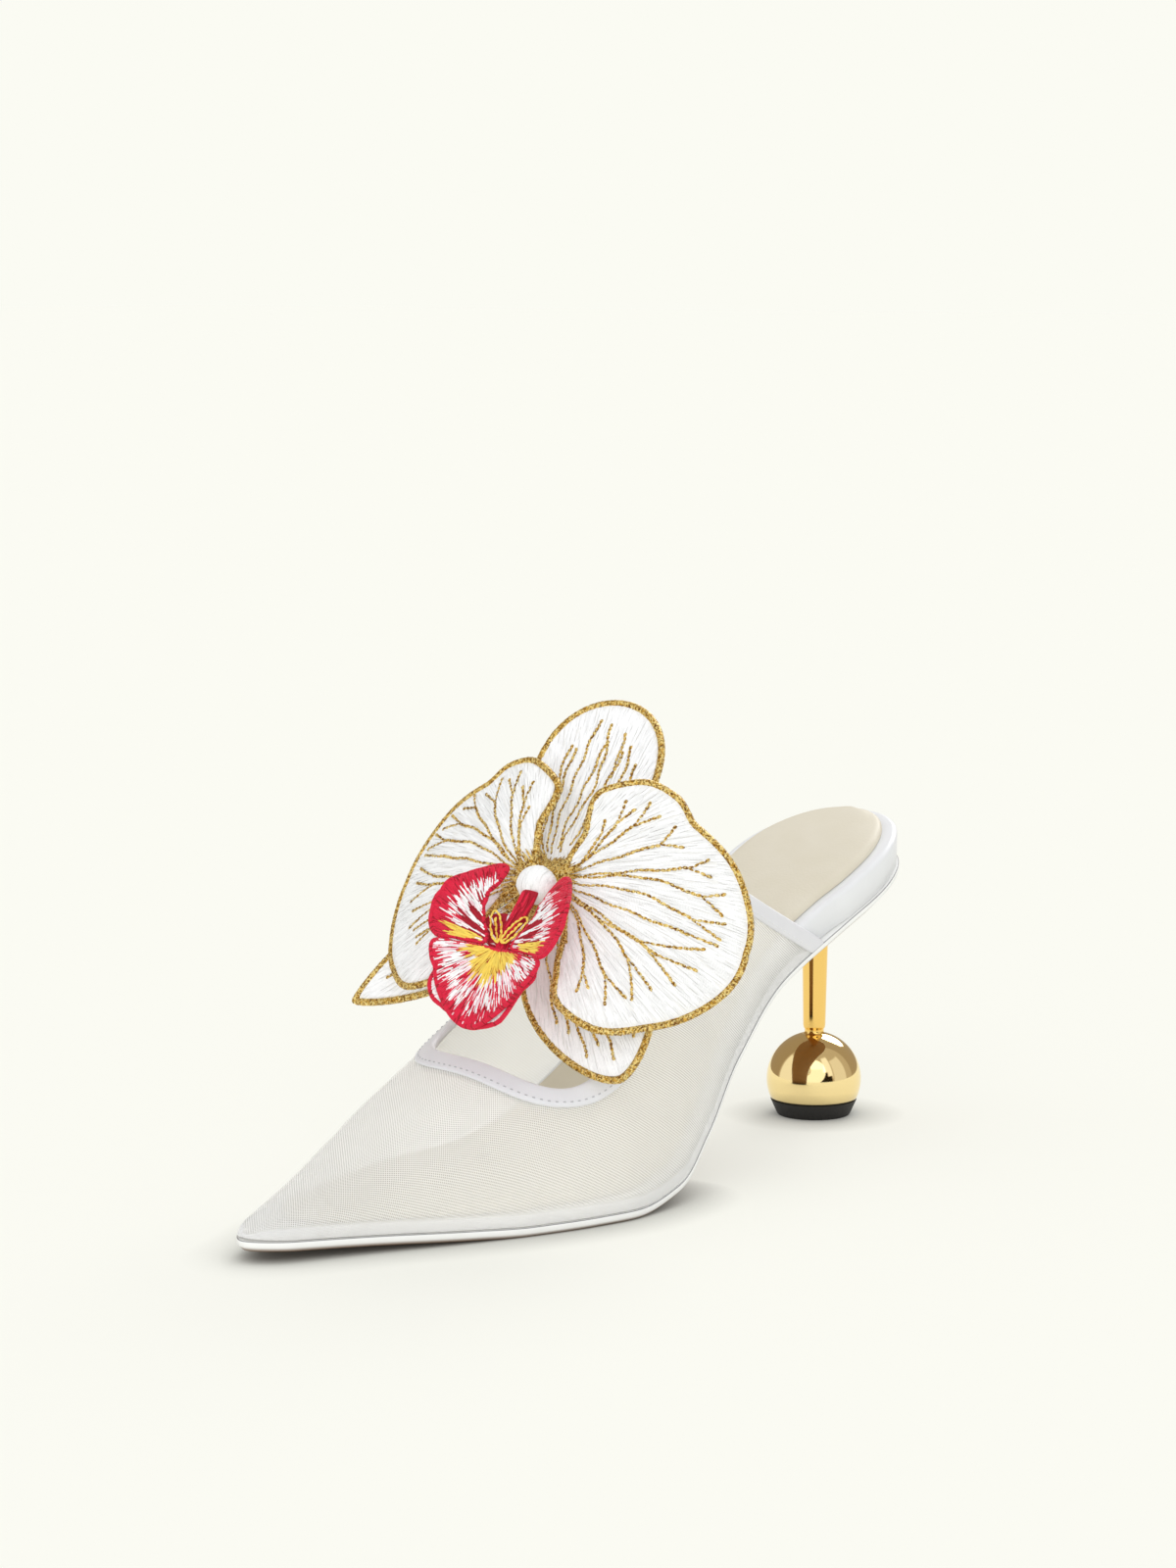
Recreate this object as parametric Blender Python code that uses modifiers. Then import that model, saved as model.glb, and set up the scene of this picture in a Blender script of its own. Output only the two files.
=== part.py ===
"""Left heeled mule with a mesh upper and an orchid ornament.

Sizes are in millimetres. Stations run from the back of the heel (0) to the tip of the toe.
The toe points along -Y, the outer side of the foot is +X, and the sole stands on Z = 0.
"""

import math

import bpy
import numpy as np
from mathutils import Matrix

MM = 0.001
GAP = 0.3
MERGE = 0.01
SHARP_DEGREES = 40.0

LENGTH = 238.0
SEAT_ROUND = 34.0
SEAT_POWER = 2.3
TOE_ROUND = 8.0
NOSE_ROUND = 9.0
ROUND_POWER = 2.0
SEAT_FIRST_DEGREES = 6.0
TOE_LAST_DEGREES = 14.0
SEAT_STEPS = 7
MIDDLE_STEPS = 24
TOE_STEPS = 5
CENTRE_X = 4.0
HEEL_Y = LENGTH / 2

# Half widths of the upper's lower edge, the height of that edge, and the board above it.
SOLE_COLUMNS = ("station", "outer", "inner", "feather", "rim")
SOLE_ROWS = (
    (0, 24.5, 24.5, 72.2, 9.0),
    (20, 24.5, 24.5, 65.2, 8.8),
    (40, 23.2, 23.0, 56.7, 8.6),
    (65, 22.6, 20.6, 45.7, 8.0),
    (90, 26.6, 20.4, 29.6, 6.6),
    (112, 33.6, 24.0, 14.2, 5.2),
    (130, 38.6, 28.6, 5.2, 4.2),
    (146, 39.4, 32.2, 2.4, 3.6),
    (158, 37.2, 33.4, 2.4, 3.4),
    (176, 31.2, 31.4, 2.4, 3.2),
    (190, 24.8, 27.0, 3.0, 3.0),
    (212, 13.4, 19.0, 4.2, 2.8),
    (238, 1.0, 9.0, 5.4, 2.4),
)

OUTSOLE_THICK = 2.4
OUTSOLE_LEDGE = 0.4
FOOTBED_EDGE_ROUND = 1.2
FOOTBED_TOE = 233.0
SOCK_TOE = 222.0
SOCK_THICK = 2.6
SOCK_EDGE_ROUND = 1.6
LARGEST_ROUND = 0.3

# How far the footbed and the sock stay inside the upper's lower edge.
INSET_COLUMNS = ("station", "footbed", "sock")
INSET_ROWS = (
    (0, 0.3, 3.8),
    (36, 0.3, 3.8),
    (46, 1.6, 4.6),
    (150, 1.6, 4.4),
    (238, 1.8, 4.4),
)

# Height of the top of the upper along its middle.
RIDGE_COLUMNS = ("station", "height")
RIDGE_ROWS = (
    (40, 108),
    (65, 104),
    (90, 95),
    (112, 79),
    (130, 64),
    (146, 51.5),
    (158, 43),
    (176, 33),
    (190, 26),
    (212, 17),
    (238, 8.5),
)
SECTION_POWER = 2.2
WALL = 0.9
UPPER_LIFT = 0.6
TIP_LIFT = 0.5
TOPLINE_OUTER = 50.0
TOPLINE_INNER = 52.0
TOPLINE_TOP = 109.0

THROAT_STATION = 150.5
THROAT_HALF_LENGTH = 17.0
THROAT_TURN = 0.45
THROAT_HALF_TURN = 0.215
THROAT_POWER = 2.5
PLAN_LENGTH = 60.0
PLAN_WIDTH = 18.0

SIDE_STEPS = 24
TOP_STEPS = 24
SIDE_CROWDING = 1.3
UPPER_RINGS = 8
STATION_NUDGE = 0.5
TURN_NUDGE = 0.001
NARROWEST = 0.000001

BINDING_WIDTH = 5.0
BINDING_THICK = 0.6
TAPE_REACH = 4 * BINDING_WIDTH
TAPE_SAMPLES = 80
TAPE_LARGEST_SHARE = 0.5

HEEL_STATION = 21.2
BALL_DIAMETER = 25.5
BALL_CENTRE_HEIGHT = 9.7
TREAD_HEIGHT = 4.6
TREAD_RADIUS = 9.5
PIN_FOOT_RADIUS = 3.0
PIN_TOP_RADIUS = 3.7
NECK_RADIUS = 2.6
NECK_HEIGHT = 1.6
PIN_SPARE = 2 * PIN_TOP_RADIUS
SEAT_REACH = 1.5 * PIN_TOP_RADIUS
SEAT_BLOCK = 8 * PIN_TOP_RADIUS
TURN_STEPS = 24
BALL_STEPS = 13

# The flower's own frame: right is toward the outer side, up toward the instep, front away from it.
FLOWER_CENTRE = (8.0, 141.6, 79.7)
FLOWER_AZIMUTH = 12.0
FLOWER_ELEVATION = 34.0
FLOWER_ROLL = 7.0
SHEET_THICK = 1.2
CORD_RADIUS = 1.1
SHEET_INSET = CORD_RADIUS + GAP
OUTLINE_STEPS = 32
SHEET_RINGS = 3

# Outline of a lobe around its own middle: direction from flower right, and reach.
LOBE_COLUMNS = ("direction", "reach")
SLANT_DEGREES = 1.0
PETAL_MIDDLE = (27.0, -3.0)
PETAL_FRONT = 3.0
PETAL_CURL = 0.0105
PETAL_CURL_START = 5.0
PETAL_ROWS = (
    (0, 21.6),
    (30, 21.8),
    (60, 23.3),
    (84, 25.0),
    (96, 30.0),
    (112, 33.0),
    (128, 33.0),
    (146, 24.5),
    (170, 22.5),
    (195, 18.6),
    (216, 19.4),
    (238, 25.5),
    (252, 31.0),
    (268, 32.0),
    (290, 28.0),
    (322, 23.8),
    (360, 21.6),
)

# Sepals: direction clockwise from flower up, inner and outer end, half width, where it is widest.
SEPAL_COLUMNS = ("name", "direction", "start", "reach", "half_width", "egg", "point", "front", "sweep")
SEPAL_ROWS = (
    ("dorsal_sepal", -5.0, 4.0, 51.0, 16.2, 0.18, 1.0, -3.0, 0.06),
    ("sepal_right", 142.4, 6.0, 53.6, 16.2, -0.20, 1.0, -3.5, 0.14),
    ("sepal_left", -125.5, 6.0, 62.0, 10.0, -0.25, 1.3, -3.5, 0.24),
)

# The lip is a shallow bowl of three lobes, each with an outline around its own middle.
LIP_BACK = 9.5
LIP_RISE = 6.0
LIP_RISE_WIDTH = 17.0
LIP_RISE_POWER = 1.3
LIP_TOP = -12.0
LIP_TOP_SLOPE = 0.49
MID_LOBE_MIDDLE = (0.0, -34.0)
MID_LOBE_ROWS = (
    (0, 12.4),
    (10, 14.4),
    (23, 16.4),
    (40, 12.6),
    (60, 10.4),
    (90, 9.4),
    (120, 10.4),
    (140, 12.6),
    (157, 16.4),
    (170, 14.4),
    (180, 12.4),
    (223, 10.6),
    (270, 11.6),
    (317, 10.6),
    (360, 12.4),
)
WING_MIDDLE = (11.5, -15.0)
WING_ROWS = (
    (0, 6.2),
    (30, 6.3),
    (60, 7.2),
    (82, 9.4),
    (104, 13.2),
    (118, 9.4),
    (138, 5.4),
    (180, 4.3),
    (212, 6.6),
    (229, 11.8),
    (246, 10.6),
    (265, 10.2),
    (287, 11.6),
    (322, 8.4),
    (360, 6.2),
)
# The strip that carries the lip under the column: distance below the flower's middle, half width.
CLAW_COLUMNS = ("down", "half_width")
CLAW_ROWS = ((11.0, 2.4), (14.0, 2.2), (19.0, 1.9), (24.0, 2.1), (28.0, 1.6))
CLAW_FRONT = 7.4
CLAW_HALF_THICK = 1.0
CLAW_CORNER = 0.6
COLUMN_MIDDLE = (0.6, -5.6, 7.0)
COLUMN_RADII = (5.2, 5.0, 4.8)
COLUMN_DEGREES = (80.0, -50.0)
COLUMN_RINGS = 8
COLUMN_SIDES = 16
# The stem behind the column, with a disc between petals and sepals and one behind the sepals.
STEM_COLUMNS = ("front", "radius")
STEM_ROWS = ((1.7, 2.6), (1.5, 8.5), (-1.5, 8.5), (-1.7, 2.6), (-6.7, 2.6), (-6.9, 7.5))
STEM_UP = -1.0
STEM_FOOT_RADIUS = 4.5
STEM_STEP = 0.25
CALLUS_MIDDLE = (3.2, -19.2)
CALLUS_HALF_SIZES = (1.4, 4.4)
CALLUS_TILT = 28.0
CALLUS_FRONT = 9.9
CALLUS_RADIUS = 0.65
CALLUS_STEPS = 14

COLOURS = {
    "white leather": (0.86, 0.85, 0.82, 0.45, 0.0),
    "beige leather": (0.80, 0.74, 0.60, 0.55, 0.0),
    "white mesh": (0.82, 0.81, 0.77, 0.70, 0.0),
    "white tape": (0.87, 0.87, 0.88, 0.50, 0.0),
    "gold metal": (0.83, 0.62, 0.25, 0.15, 1.0),
    "black rubber": (0.02, 0.02, 0.02, 0.70, 0.0),
    "white thread": (0.88, 0.87, 0.84, 0.60, 0.0),
    "gold cord": (0.62, 0.45, 0.15, 0.35, 1.0),
    "red thread": (0.55, 0.03, 0.08, 0.50, 0.0),
    "yellow cord": (0.85, 0.62, 0.08, 0.50, 0.0),
}


def smooth_through(places, values):
    """A curve through the values that never overshoots them."""
    places = np.asarray(places, float)
    values = np.asarray(values, float)
    step = np.diff(places)
    rise = np.diff(values) / step
    slope = np.zeros_like(values)
    for i in range(1, len(places) - 1):
        if rise[i - 1] * rise[i] > 0:
            before = 2 * step[i] + step[i - 1]
            after = step[i] + 2 * step[i - 1]
            slope[i] = (before + after) / (before / rise[i - 1] + after / rise[i])
    slope[0] = rise[0]
    slope[-1] = rise[-1]

    def curve(place):
        place = np.clip(place, places[0], places[-1])
        i = np.clip(np.searchsorted(places, place) - 1, 0, len(step) - 1)
        t = (place - places[i]) / step[i]
        start = values[i] * (1 + 2 * t) * (1 - t) ** 2
        start += slope[i] * step[i] * t * (1 - t) ** 2
        finish = values[i + 1] * t**2 * (3 - 2 * t)
        finish += slope[i + 1] * step[i] * t**2 * (t - 1)
        return start + finish

    return curve


def table_curves(columns, rows):
    """One smooth curve along the stations for each further column of a table."""
    stations = [row[0] for row in rows]
    return {
        name: smooth_through(stations, [row[i] for row in rows])
        for i, name in enumerate(columns)
        if i
    }


SOLE = table_curves(SOLE_COLUMNS, SOLE_ROWS)
INSET = table_curves(INSET_COLUMNS, INSET_ROWS)
RIDGE = table_curves(RIDGE_COLUMNS, RIDGE_ROWS)


def end_round(share, power):
    """Rises from 0 to 1 like the end of a rounded outline."""
    share = np.clip(share, 0.0, 1.0)
    return (1 - (1 - share) ** power) ** (1 / power)


def plan(station, inset=0.0, start=0.0, end=LENGTH):
    """Middle and half width of the outline at a station, seen from above."""
    outer = SOLE["outer"](station)
    inner = SOLE["inner"](station)
    half = (outer + inner) / 2 - inset
    half = half * end_round((station - start) / SEAT_ROUND, SEAT_POWER)
    half = half * end_round((end - station) / TOE_ROUND, ROUND_POWER)
    return (outer - inner) / 2, half


def stations_between(start, end):
    """Stations that crowd at the rounded heel and toe."""
    seat = np.radians(np.linspace(SEAT_FIRST_DEGREES, 90, SEAT_STEPS))
    toe = np.radians(np.linspace(90, TOE_LAST_DEGREES, TOE_STEPS))
    middle = np.linspace(start + SEAT_ROUND, end - TOE_ROUND, MIDDLE_STEPS)
    return np.concatenate(
        [
            start + SEAT_ROUND * (1 - np.cos(seat[:-1])),
            middle,
            end - TOE_ROUND * (1 - np.cos(toe[1:])),
        ]
    )


def place(point):
    """Millimetres of the shoe to metres of the model."""
    x, station, z = point
    return ((x - CENTRE_X) * MM, (HEEL_Y - station) * MM, z * MM)


def material(name):
    """The plain material of that name, made on first use."""
    made = bpy.data.materials.get(name)
    if made is None:
        made = bpy.data.materials.new(name)
        made.use_nodes = True
        shader = made.node_tree.nodes["Principled BSDF"]
        red, green, blue, rough, metal = COLOURS[name]
        shader.inputs["Base Color"].default_value = (red, green, blue, 1)
        shader.inputs["Roughness"].default_value = rough
        shader.inputs["Metallic"].default_value = metal
    return made


def add_mesh(name, points, faces, look, group):
    """A named object from points in shoe millimetres."""
    mesh = bpy.data.meshes.new(name)
    mesh.from_pydata([place(p) for p in points], [], faces)
    mesh.shade_smooth()
    mesh.set_sharp_from_angle(angle=math.radians(SHARP_DEGREES))
    mesh.materials.append(material(look))
    thing = bpy.data.objects.new(name, mesh)
    group.objects.link(thing)
    return thing


def ring_faces(rings, points_in_ring, closed):
    """Quads between one ring of points and the next, with end faces on an open path."""
    faces = []
    for r in range(rings if closed else rings - 1):
        here = r * points_in_ring
        there = (r + 1) % rings * points_in_ring
        for p in range(points_in_ring):
            q = (p + 1) % points_in_ring
            faces.append((here + p, here + q, there + q, there + p))
    if not closed:
        last = (rings - 1) * points_in_ring
        faces.append(tuple(reversed(range(points_in_ring))))
        faces.append(tuple(range(last, last + points_in_ring)))
    return faces


def loft(name, rings, look, group, closed=False):
    """A closed solid through rings of points."""
    points = [p for ring in rings for p in ring]
    return add_mesh(name, points, ring_faces(len(rings), len(rings[0]), closed), look, group)


def slab(name, span, inset, levels, edge_round, look, group):
    """A flat piece along the foot, with its upper edge rounded off."""
    start, end = span
    rings = []
    for station in stations_between(start, end):
        middle, half = plan(station, inset(station), start, end)
        low, high = levels(station)
        soft = min(edge_round, LARGEST_ROUND * half)
        top = (half, half - soft, half / 2, 0.0, -half / 2, soft - half, -half)
        heights = (high - soft, high, high, high, high, high, high - soft)
        ring = [(middle + x, station, z) for x, z in zip(top, heights)]
        ring += [(middle + x, station, low) for x in (-half, 0.0, half)]
        rings.append(ring)
    return loft(name, rings, look, group)


def outsole(group):
    def levels(station):
        high = SOLE["feather"](station)
        return high - OUTSOLE_THICK, high

    span = (-OUTSOLE_LEDGE, LENGTH + OUTSOLE_LEDGE)
    slab("outsole", span, lambda s: -OUTSOLE_LEDGE, levels, GAP, "white leather", group)


def footbed_top(station):
    return SOLE["feather"](station) + SOLE["rim"](station)


def footbed(group):
    def levels(station):
        return SOLE["feather"](station) + GAP, footbed_top(station)

    span = (INSET["footbed"](0), FOOTBED_TOE)
    slab("footbed", span, INSET["footbed"], levels, FOOTBED_EDGE_ROUND, "white leather", group)


def insole_sock(group):
    def levels(station):
        low = footbed_top(station) + GAP
        return low, low + SOCK_THICK

    span = (INSET["sock"](0), SOCK_TOE)
    slab("insole_sock", span, INSET["sock"], levels, SOCK_EDGE_ROUND, "beige leather", group)


def upper_point(station, turn):
    """A point of the upper's outside: turn 0 is its outer lower edge, 0.5 the ridge, 1 the inner."""
    angle = np.pi * turn
    middle, half = plan(station)
    nose = end_round((LENGTH - station) / NOSE_ROUND, ROUND_POWER)
    base = SOLE["feather"](station) + UPPER_LIFT + TIP_LIFT * (1 - nose)
    height = (RIDGE["height"](station) - base) * nose
    across = np.sign(np.cos(angle)) * np.abs(np.cos(angle)) ** (2 / SECTION_POWER)
    rise = np.abs(np.sin(angle)) ** (2 / SECTION_POWER)
    return np.array([middle + half * across, station, base + height * rise])


def upper_normal(station, turn):
    """Outward direction of the upper's outside."""
    turn = np.clip(turn, 2 * TURN_NUDGE, 1 - 2 * TURN_NUDGE)
    along = upper_point(station + STATION_NUDGE, turn) - upper_point(station - STATION_NUDGE, turn)
    around = upper_point(station, turn + TURN_NUDGE) - upper_point(station, turn - TURN_NUDGE)
    normal = np.cross(along, around)
    return normal / np.linalg.norm(normal)


def topline_station(turn):
    """Where the rear edge of the upper crosses a line along the foot."""
    low = TOPLINE_OUTER + (TOPLINE_INNER - TOPLINE_OUTER) * turn
    rise = np.sin(np.pi * turn) ** (2 / SECTION_POWER)
    return low + (TOPLINE_TOP - low) * rise


def topline_path(turn):
    """Station and turn from the rear edge toward the toe."""

    def path(share):
        return topline_station(turn) + share * TAPE_REACH, turn

    return path


def unrolled(station, turn):
    """A place on the upper as a point of its flattened plan."""
    return np.array([station, (2 * turn - 1) * plan(station)[1]])


def rolled(flat):
    """The station and turn of a point of the flattened plan."""
    station, across = flat
    half = max(plan(station)[1], NARROWEST)
    return station, np.clip(0.5 + across / (2 * half), 0.0, 1.0)


def upper_outer_loop():
    """Station and turn along the lower edges, around the toe, and along the topline."""
    share = np.arange(SIDE_STEPS) / SIDE_STEPS
    outer_length = LENGTH - TOPLINE_OUTER
    inner_length = LENGTH - TOPLINE_INNER
    loop = [(LENGTH - outer_length * (1 - t) ** SIDE_CROWDING, 0.0) for t in share]
    loop.append((LENGTH, 0.5))
    loop += [(LENGTH - inner_length * t**SIDE_CROWDING, 1.0) for t in share[1:]]
    loop += [(topline_station(t), t) for t in 1 - np.arange(TOP_STEPS) / TOP_STEPS]
    return loop


def throat_place(flat):
    """The point of the cut-out's edge that faces a point of the flattened plan."""
    angle = math.atan2(flat[1] / PLAN_WIDTH, (flat[0] - THROAT_STATION) / PLAN_LENGTH)
    along = math.copysign(abs(math.cos(angle)) ** (2 / THROAT_POWER), math.cos(angle))
    across = math.copysign(abs(math.sin(angle)) ** (2 / THROAT_POWER), math.sin(angle))
    return THROAT_STATION + THROAT_HALF_LENGTH * along, THROAT_TURN + THROAT_HALF_TURN * across


def upper_columns():
    """Flattened lines from the edge of the cut-out to the outer edge of the upper."""
    columns = []
    for station, turn in upper_outer_loop():
        outer = unrolled(station, turn)
        columns.append((unrolled(*throat_place(outer)), outer))
    return columns


def column_path(inner, outer):
    """Station and turn along a flattened line, by the share of its length."""

    def path(share):
        return rolled(inner + (outer - inner) * share)

    return path


def tape_share(path):
    """The share of a path over the upper that is one tape width long."""
    shares = np.linspace(0, TAPE_LARGEST_SHARE, TAPE_SAMPLES)
    points = np.array([upper_point(*path(share)) for share in shares])
    run = np.concatenate([[0], np.cumsum(np.linalg.norm(np.diff(points, axis=0), axis=1))])
    return np.interp(BINDING_WIDTH, run, shares)


def upper(group):
    """The mesh vamp and instep band: an open surface around the cut-out, thickened inwards."""
    points = []
    for inner, outer in upper_columns():
        path = column_path(inner, outer)
        first = tape_share(path)
        last = 1 - tape_share(lambda share, path=path: path(1 - share))
        shares = [0.0, *np.linspace(first, last, UPPER_RINGS - 1), 1.0]
        points += [upper_point(*path(share)) for share in shares]
    count = UPPER_RINGS + 1
    faces = []
    for here in range(0, len(points), count):
        there = (here + count) % len(points)
        for ring in range(UPPER_RINGS):
            faces.append((here + ring, there + ring, there + ring + 1, here + ring + 1))
    thing = add_mesh("upper", points, faces, "white mesh", group)
    wall = thing.modifiers.new("wall", "SOLIDIFY")
    wall.thickness = WALL * MM
    wall.offset = -1
    return thing


def tape_places(paths):
    """Points and normals of the upper at its edge and one tape width in, for each path."""
    edge = np.array([upper_point(*path(0)) for path in paths])
    inward = np.array([upper_point(*path(tape_share(path))) for path in paths])
    edge_normal = np.array([upper_normal(*path(0)) for path in paths])
    inward_normal = np.array([upper_normal(*path(tape_share(path))) for path in paths])
    return edge, inward, edge_normal, inward_normal


def square_to(along, normal, toward):
    """Directions in the surface, square to an edge, on the side given by toward."""
    across = np.cross(normal, along)
    across /= np.linalg.norm(across, axis=1, keepdims=True)
    side = np.sign(np.sum(across * toward, axis=1, keepdims=True))
    return across * side


def throat_binding(group):
    """A tape folded over the edge of the cut-out, with a leg on each side of the wall."""
    over = GAP + BINDING_THICK
    paths = [column_path(inner, outer) for inner, outer in upper_columns()]
    edge, inward, edge_normal, inward_normal = tape_places(paths)
    along = np.roll(edge, -1, axis=0) - np.roll(edge, 1, axis=0)
    into = square_to(along, edge_normal, inward - edge)
    levels = (
        inward + inward_normal * over,
        edge + edge_normal * over - into * over,
        edge - edge_normal * (WALL + over) - into * over,
        inward - inward_normal * (WALL + over),
        inward - inward_normal * (WALL + GAP),
        edge - edge_normal * (WALL + GAP) - into * GAP,
        edge + edge_normal * GAP - into * GAP,
        inward + inward_normal * GAP,
    )
    loft("throat_binding", list(zip(*levels)), "white tape", group, closed=True)


def topline_binding(group):
    """A tape on the outside of the upper's rear edge, turned in over the edge of the wall."""
    over = GAP + BINDING_THICK
    paths = [topline_path(turn) for turn in np.linspace(0, 1, TOP_STEPS + 1)]
    edge, inward, edge_normal, inward_normal = tape_places(paths)
    into = square_to(np.gradient(edge, axis=0), edge_normal, inward - edge)
    levels = (
        inward + inward_normal * over,
        edge + edge_normal * over - into * over,
        edge - edge_normal * WALL - into * over,
        edge - edge_normal * WALL - into * GAP,
        edge + edge_normal * GAP - into * GAP,
        inward + inward_normal * GAP,
    )
    loft("topline_binding", list(zip(*levels)), "white tape", group)


def turned(name, profile, look, group):
    """A turned piece from (radius, height) pairs, top to bottom, on the heel's axis."""
    mesh = bpy.data.meshes.new(name)
    points = [(radius * MM, 0, height * MM) for radius, height in profile]
    mesh.from_pydata(points, [(i, i + 1) for i in range(len(points) - 1)], [])
    mesh.materials.append(material(look))
    thing = bpy.data.objects.new(name, mesh)
    thing.location = place((0, HEEL_STATION, 0))
    group.objects.link(thing)
    screw = thing.modifiers.new("turn", "SCREW")
    screw.steps = TURN_STEPS
    screw.render_steps = TURN_STEPS
    screw.use_merge_vertices = True
    screw.merge_threshold = MERGE * MM
    return thing


def heel(group, cutters):
    """Pin under the seat, ball at its foot, and the rubber tread below the ball."""
    radius = BALL_DIAMETER / 2
    seam = BALL_CENTRE_HEIGHT - TREAD_HEIGHT
    seam_radius = math.sqrt(radius**2 - seam**2)
    flat_height = math.sqrt(radius**2 - PIN_FOOT_RADIUS**2)
    ball_top = BALL_CENTRE_HEIGHT + flat_height
    first = math.asin(flat_height / radius)
    last = -math.asin(seam / radius)
    angles = np.linspace(first, last, BALL_STEPS)
    curve = [(radius * math.cos(a), BALL_CENTRE_HEIGHT + radius * math.sin(a)) for a in angles]
    turned("heel_ball", [(0, ball_top)] + curve + [(0, TREAD_HEIGHT)], "gold metal", group)

    tread_top = TREAD_HEIGHT - GAP
    tread = [(0, tread_top), (seam_radius, tread_top), (TREAD_RADIUS, 0), (0, 0)]
    turned("heel_top_piece", tread, "black rubber", group)

    foot = ball_top + GAP
    seat = SOLE["feather"](HEEL_STATION) - OUTSOLE_THICK
    clear = seat + PIN_SPARE
    pin = turned(
        "heel_pin",
        [
            (0, clear),
            (PIN_TOP_RADIUS, clear),
            (PIN_TOP_RADIUS, seat),
            (PIN_FOOT_RADIUS, foot + NECK_HEIGHT),
            (NECK_RADIUS, foot + NECK_HEIGHT / 2),
            (NECK_RADIUS, foot),
            (0, foot),
        ],
        "gold metal",
        group,
    )
    cut = pin.modifiers.new("under the seat", "BOOLEAN")
    cut.operation = "DIFFERENCE"
    cut.solver = "EXACT"
    cut.object = seat_cutter(seat, cutters)


def seat_cutter(seat, cutters):
    """A block whose lower face lies just under the sloping seat."""
    low = SOLE["feather"](HEEL_STATION + SEAT_REACH)
    high = SOLE["feather"](HEEL_STATION - SEAT_REACH)
    slope = math.atan2(high - low, 2 * SEAT_REACH)
    bpy.ops.mesh.primitive_cube_add(size=SEAT_BLOCK * MM)
    block = bpy.context.object
    block.name = "seat_cutter"
    drop = (high + low) / 2 - SOLE["feather"](HEEL_STATION)
    lift = SEAT_BLOCK / 2 / math.cos(slope)
    seat_face = seat + drop - 2 * GAP
    turn = Matrix.Rotation(slope, 4, "X")
    block.matrix_world = Matrix.Translation(place((0, HEEL_STATION, seat_face + lift))) @ turn
    block.hide_render = True
    block.display_type = "WIRE"
    for owner in list(block.users_collection):
        owner.objects.unlink(block)
    cutters.objects.link(block)
    return block


def flower_axes():
    """Right, up and front of the flower, as shoe directions."""
    azimuth, elevation, roll = np.radians([FLOWER_AZIMUTH, FLOWER_ELEVATION, FLOWER_ROLL])
    level = np.array([math.cos(azimuth), -math.sin(azimuth), 0.0])
    facing = np.array([math.sin(azimuth), math.cos(azimuth), 0.0])
    upright = np.array([0.0, 0.0, 1.0])
    front = facing * math.cos(elevation) + upright * math.sin(elevation)
    rise = upright * math.cos(elevation) - facing * math.sin(elevation)
    right = level * math.cos(roll) - rise * math.sin(roll)
    up = rise * math.cos(roll) + level * math.sin(roll)
    return right, up, front


def flower_point(right, up, front):
    """A point of the flower's frame, in the shoe's."""
    axes = flower_axes()
    return np.array(FLOWER_CENTRE) + axes[0] * right + axes[1] * up + axes[2] * front


def petal_surface(right, up):
    """Petals stand in front and curl back toward their outer ends."""
    reach = max(abs(right) - PETAL_CURL_START, 0.0)
    return PETAL_FRONT - PETAL_CURL * reach**2


def lobe_outline(rows, middle, side=1):
    """A closed outline as a function of an angle, around the lobe's middle."""
    reach = smooth_through(*zip(*rows))

    def at(angle, share=1.0, inset=0.0):
        degrees = math.degrees(angle) % 360
        before = reach((degrees - SLANT_DEGREES) % 360)
        after = reach((degrees + SLANT_DEGREES) % 360)
        slope = (after - before) / math.radians(2 * SLANT_DEGREES)
        slant = math.hypot(1.0, slope / reach(degrees))
        distance = (reach(degrees) - inset * slant) * share
        right = middle[0] + distance * math.cos(angle)
        return side * right, middle[1] + distance * math.sin(angle)

    return at


def sepal_outline(row):
    """A leaf with its widest place set by egg and its tip sharpened by point."""
    middle = (row["start"] + row["reach"]) / 2
    half_length = (row["reach"] - row["start"]) / 2
    turn = math.radians(row["direction"])

    def at(angle, share=1.0, inset=0.0):
        bulge = 1 + row["egg"] * math.cos(angle)
        sharp = math.copysign(abs(math.sin(angle)) ** row["point"], math.sin(angle))
        end_inset = inset * row["point"] ** 2
        along = middle + (half_length - end_inset) * share * math.cos(angle)
        across = (row["half_width"] - inset) * share * sharp * bulge
        right = along * math.sin(turn) + across * math.cos(turn)
        return right, along * math.cos(turn) - across * math.sin(turn)

    return at


def lip_surface(right, up):
    """The lip's sides rise to the front, and its top leans back beside the column."""
    rise = LIP_RISE * (abs(right) / LIP_RISE_WIDTH) ** LIP_RISE_POWER
    return LIP_BACK + rise - LIP_TOP_SLOPE * max(up - LIP_TOP, 0.0)


def sheet(name, point_at, look, group):
    """A stitched sheet: rings of points from its middle to its edge, thickened to both sides."""
    points = [point_at(0.0, 0.0)]
    for ring in range(1, SHEET_RINGS + 1):
        for step in range(OUTLINE_STEPS):
            points.append(point_at(2 * math.pi * step / OUTLINE_STEPS, ring / SHEET_RINGS))
    faces = []
    for step in range(OUTLINE_STEPS):
        after = (step + 1) % OUTLINE_STEPS
        faces.append((0, 1 + step, 1 + after))
        for ring in range(SHEET_RINGS - 1):
            here = 1 + ring * OUTLINE_STEPS
            there = here + OUTLINE_STEPS
            faces.append((here + step, there + step, there + after, here + after))
    thing = add_mesh(name, points, faces, look, group)
    thick = thing.modifiers.new("thickness", "SOLIDIFY")
    thick.thickness = SHEET_THICK * MM
    thick.offset = 0
    return thing


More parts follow.
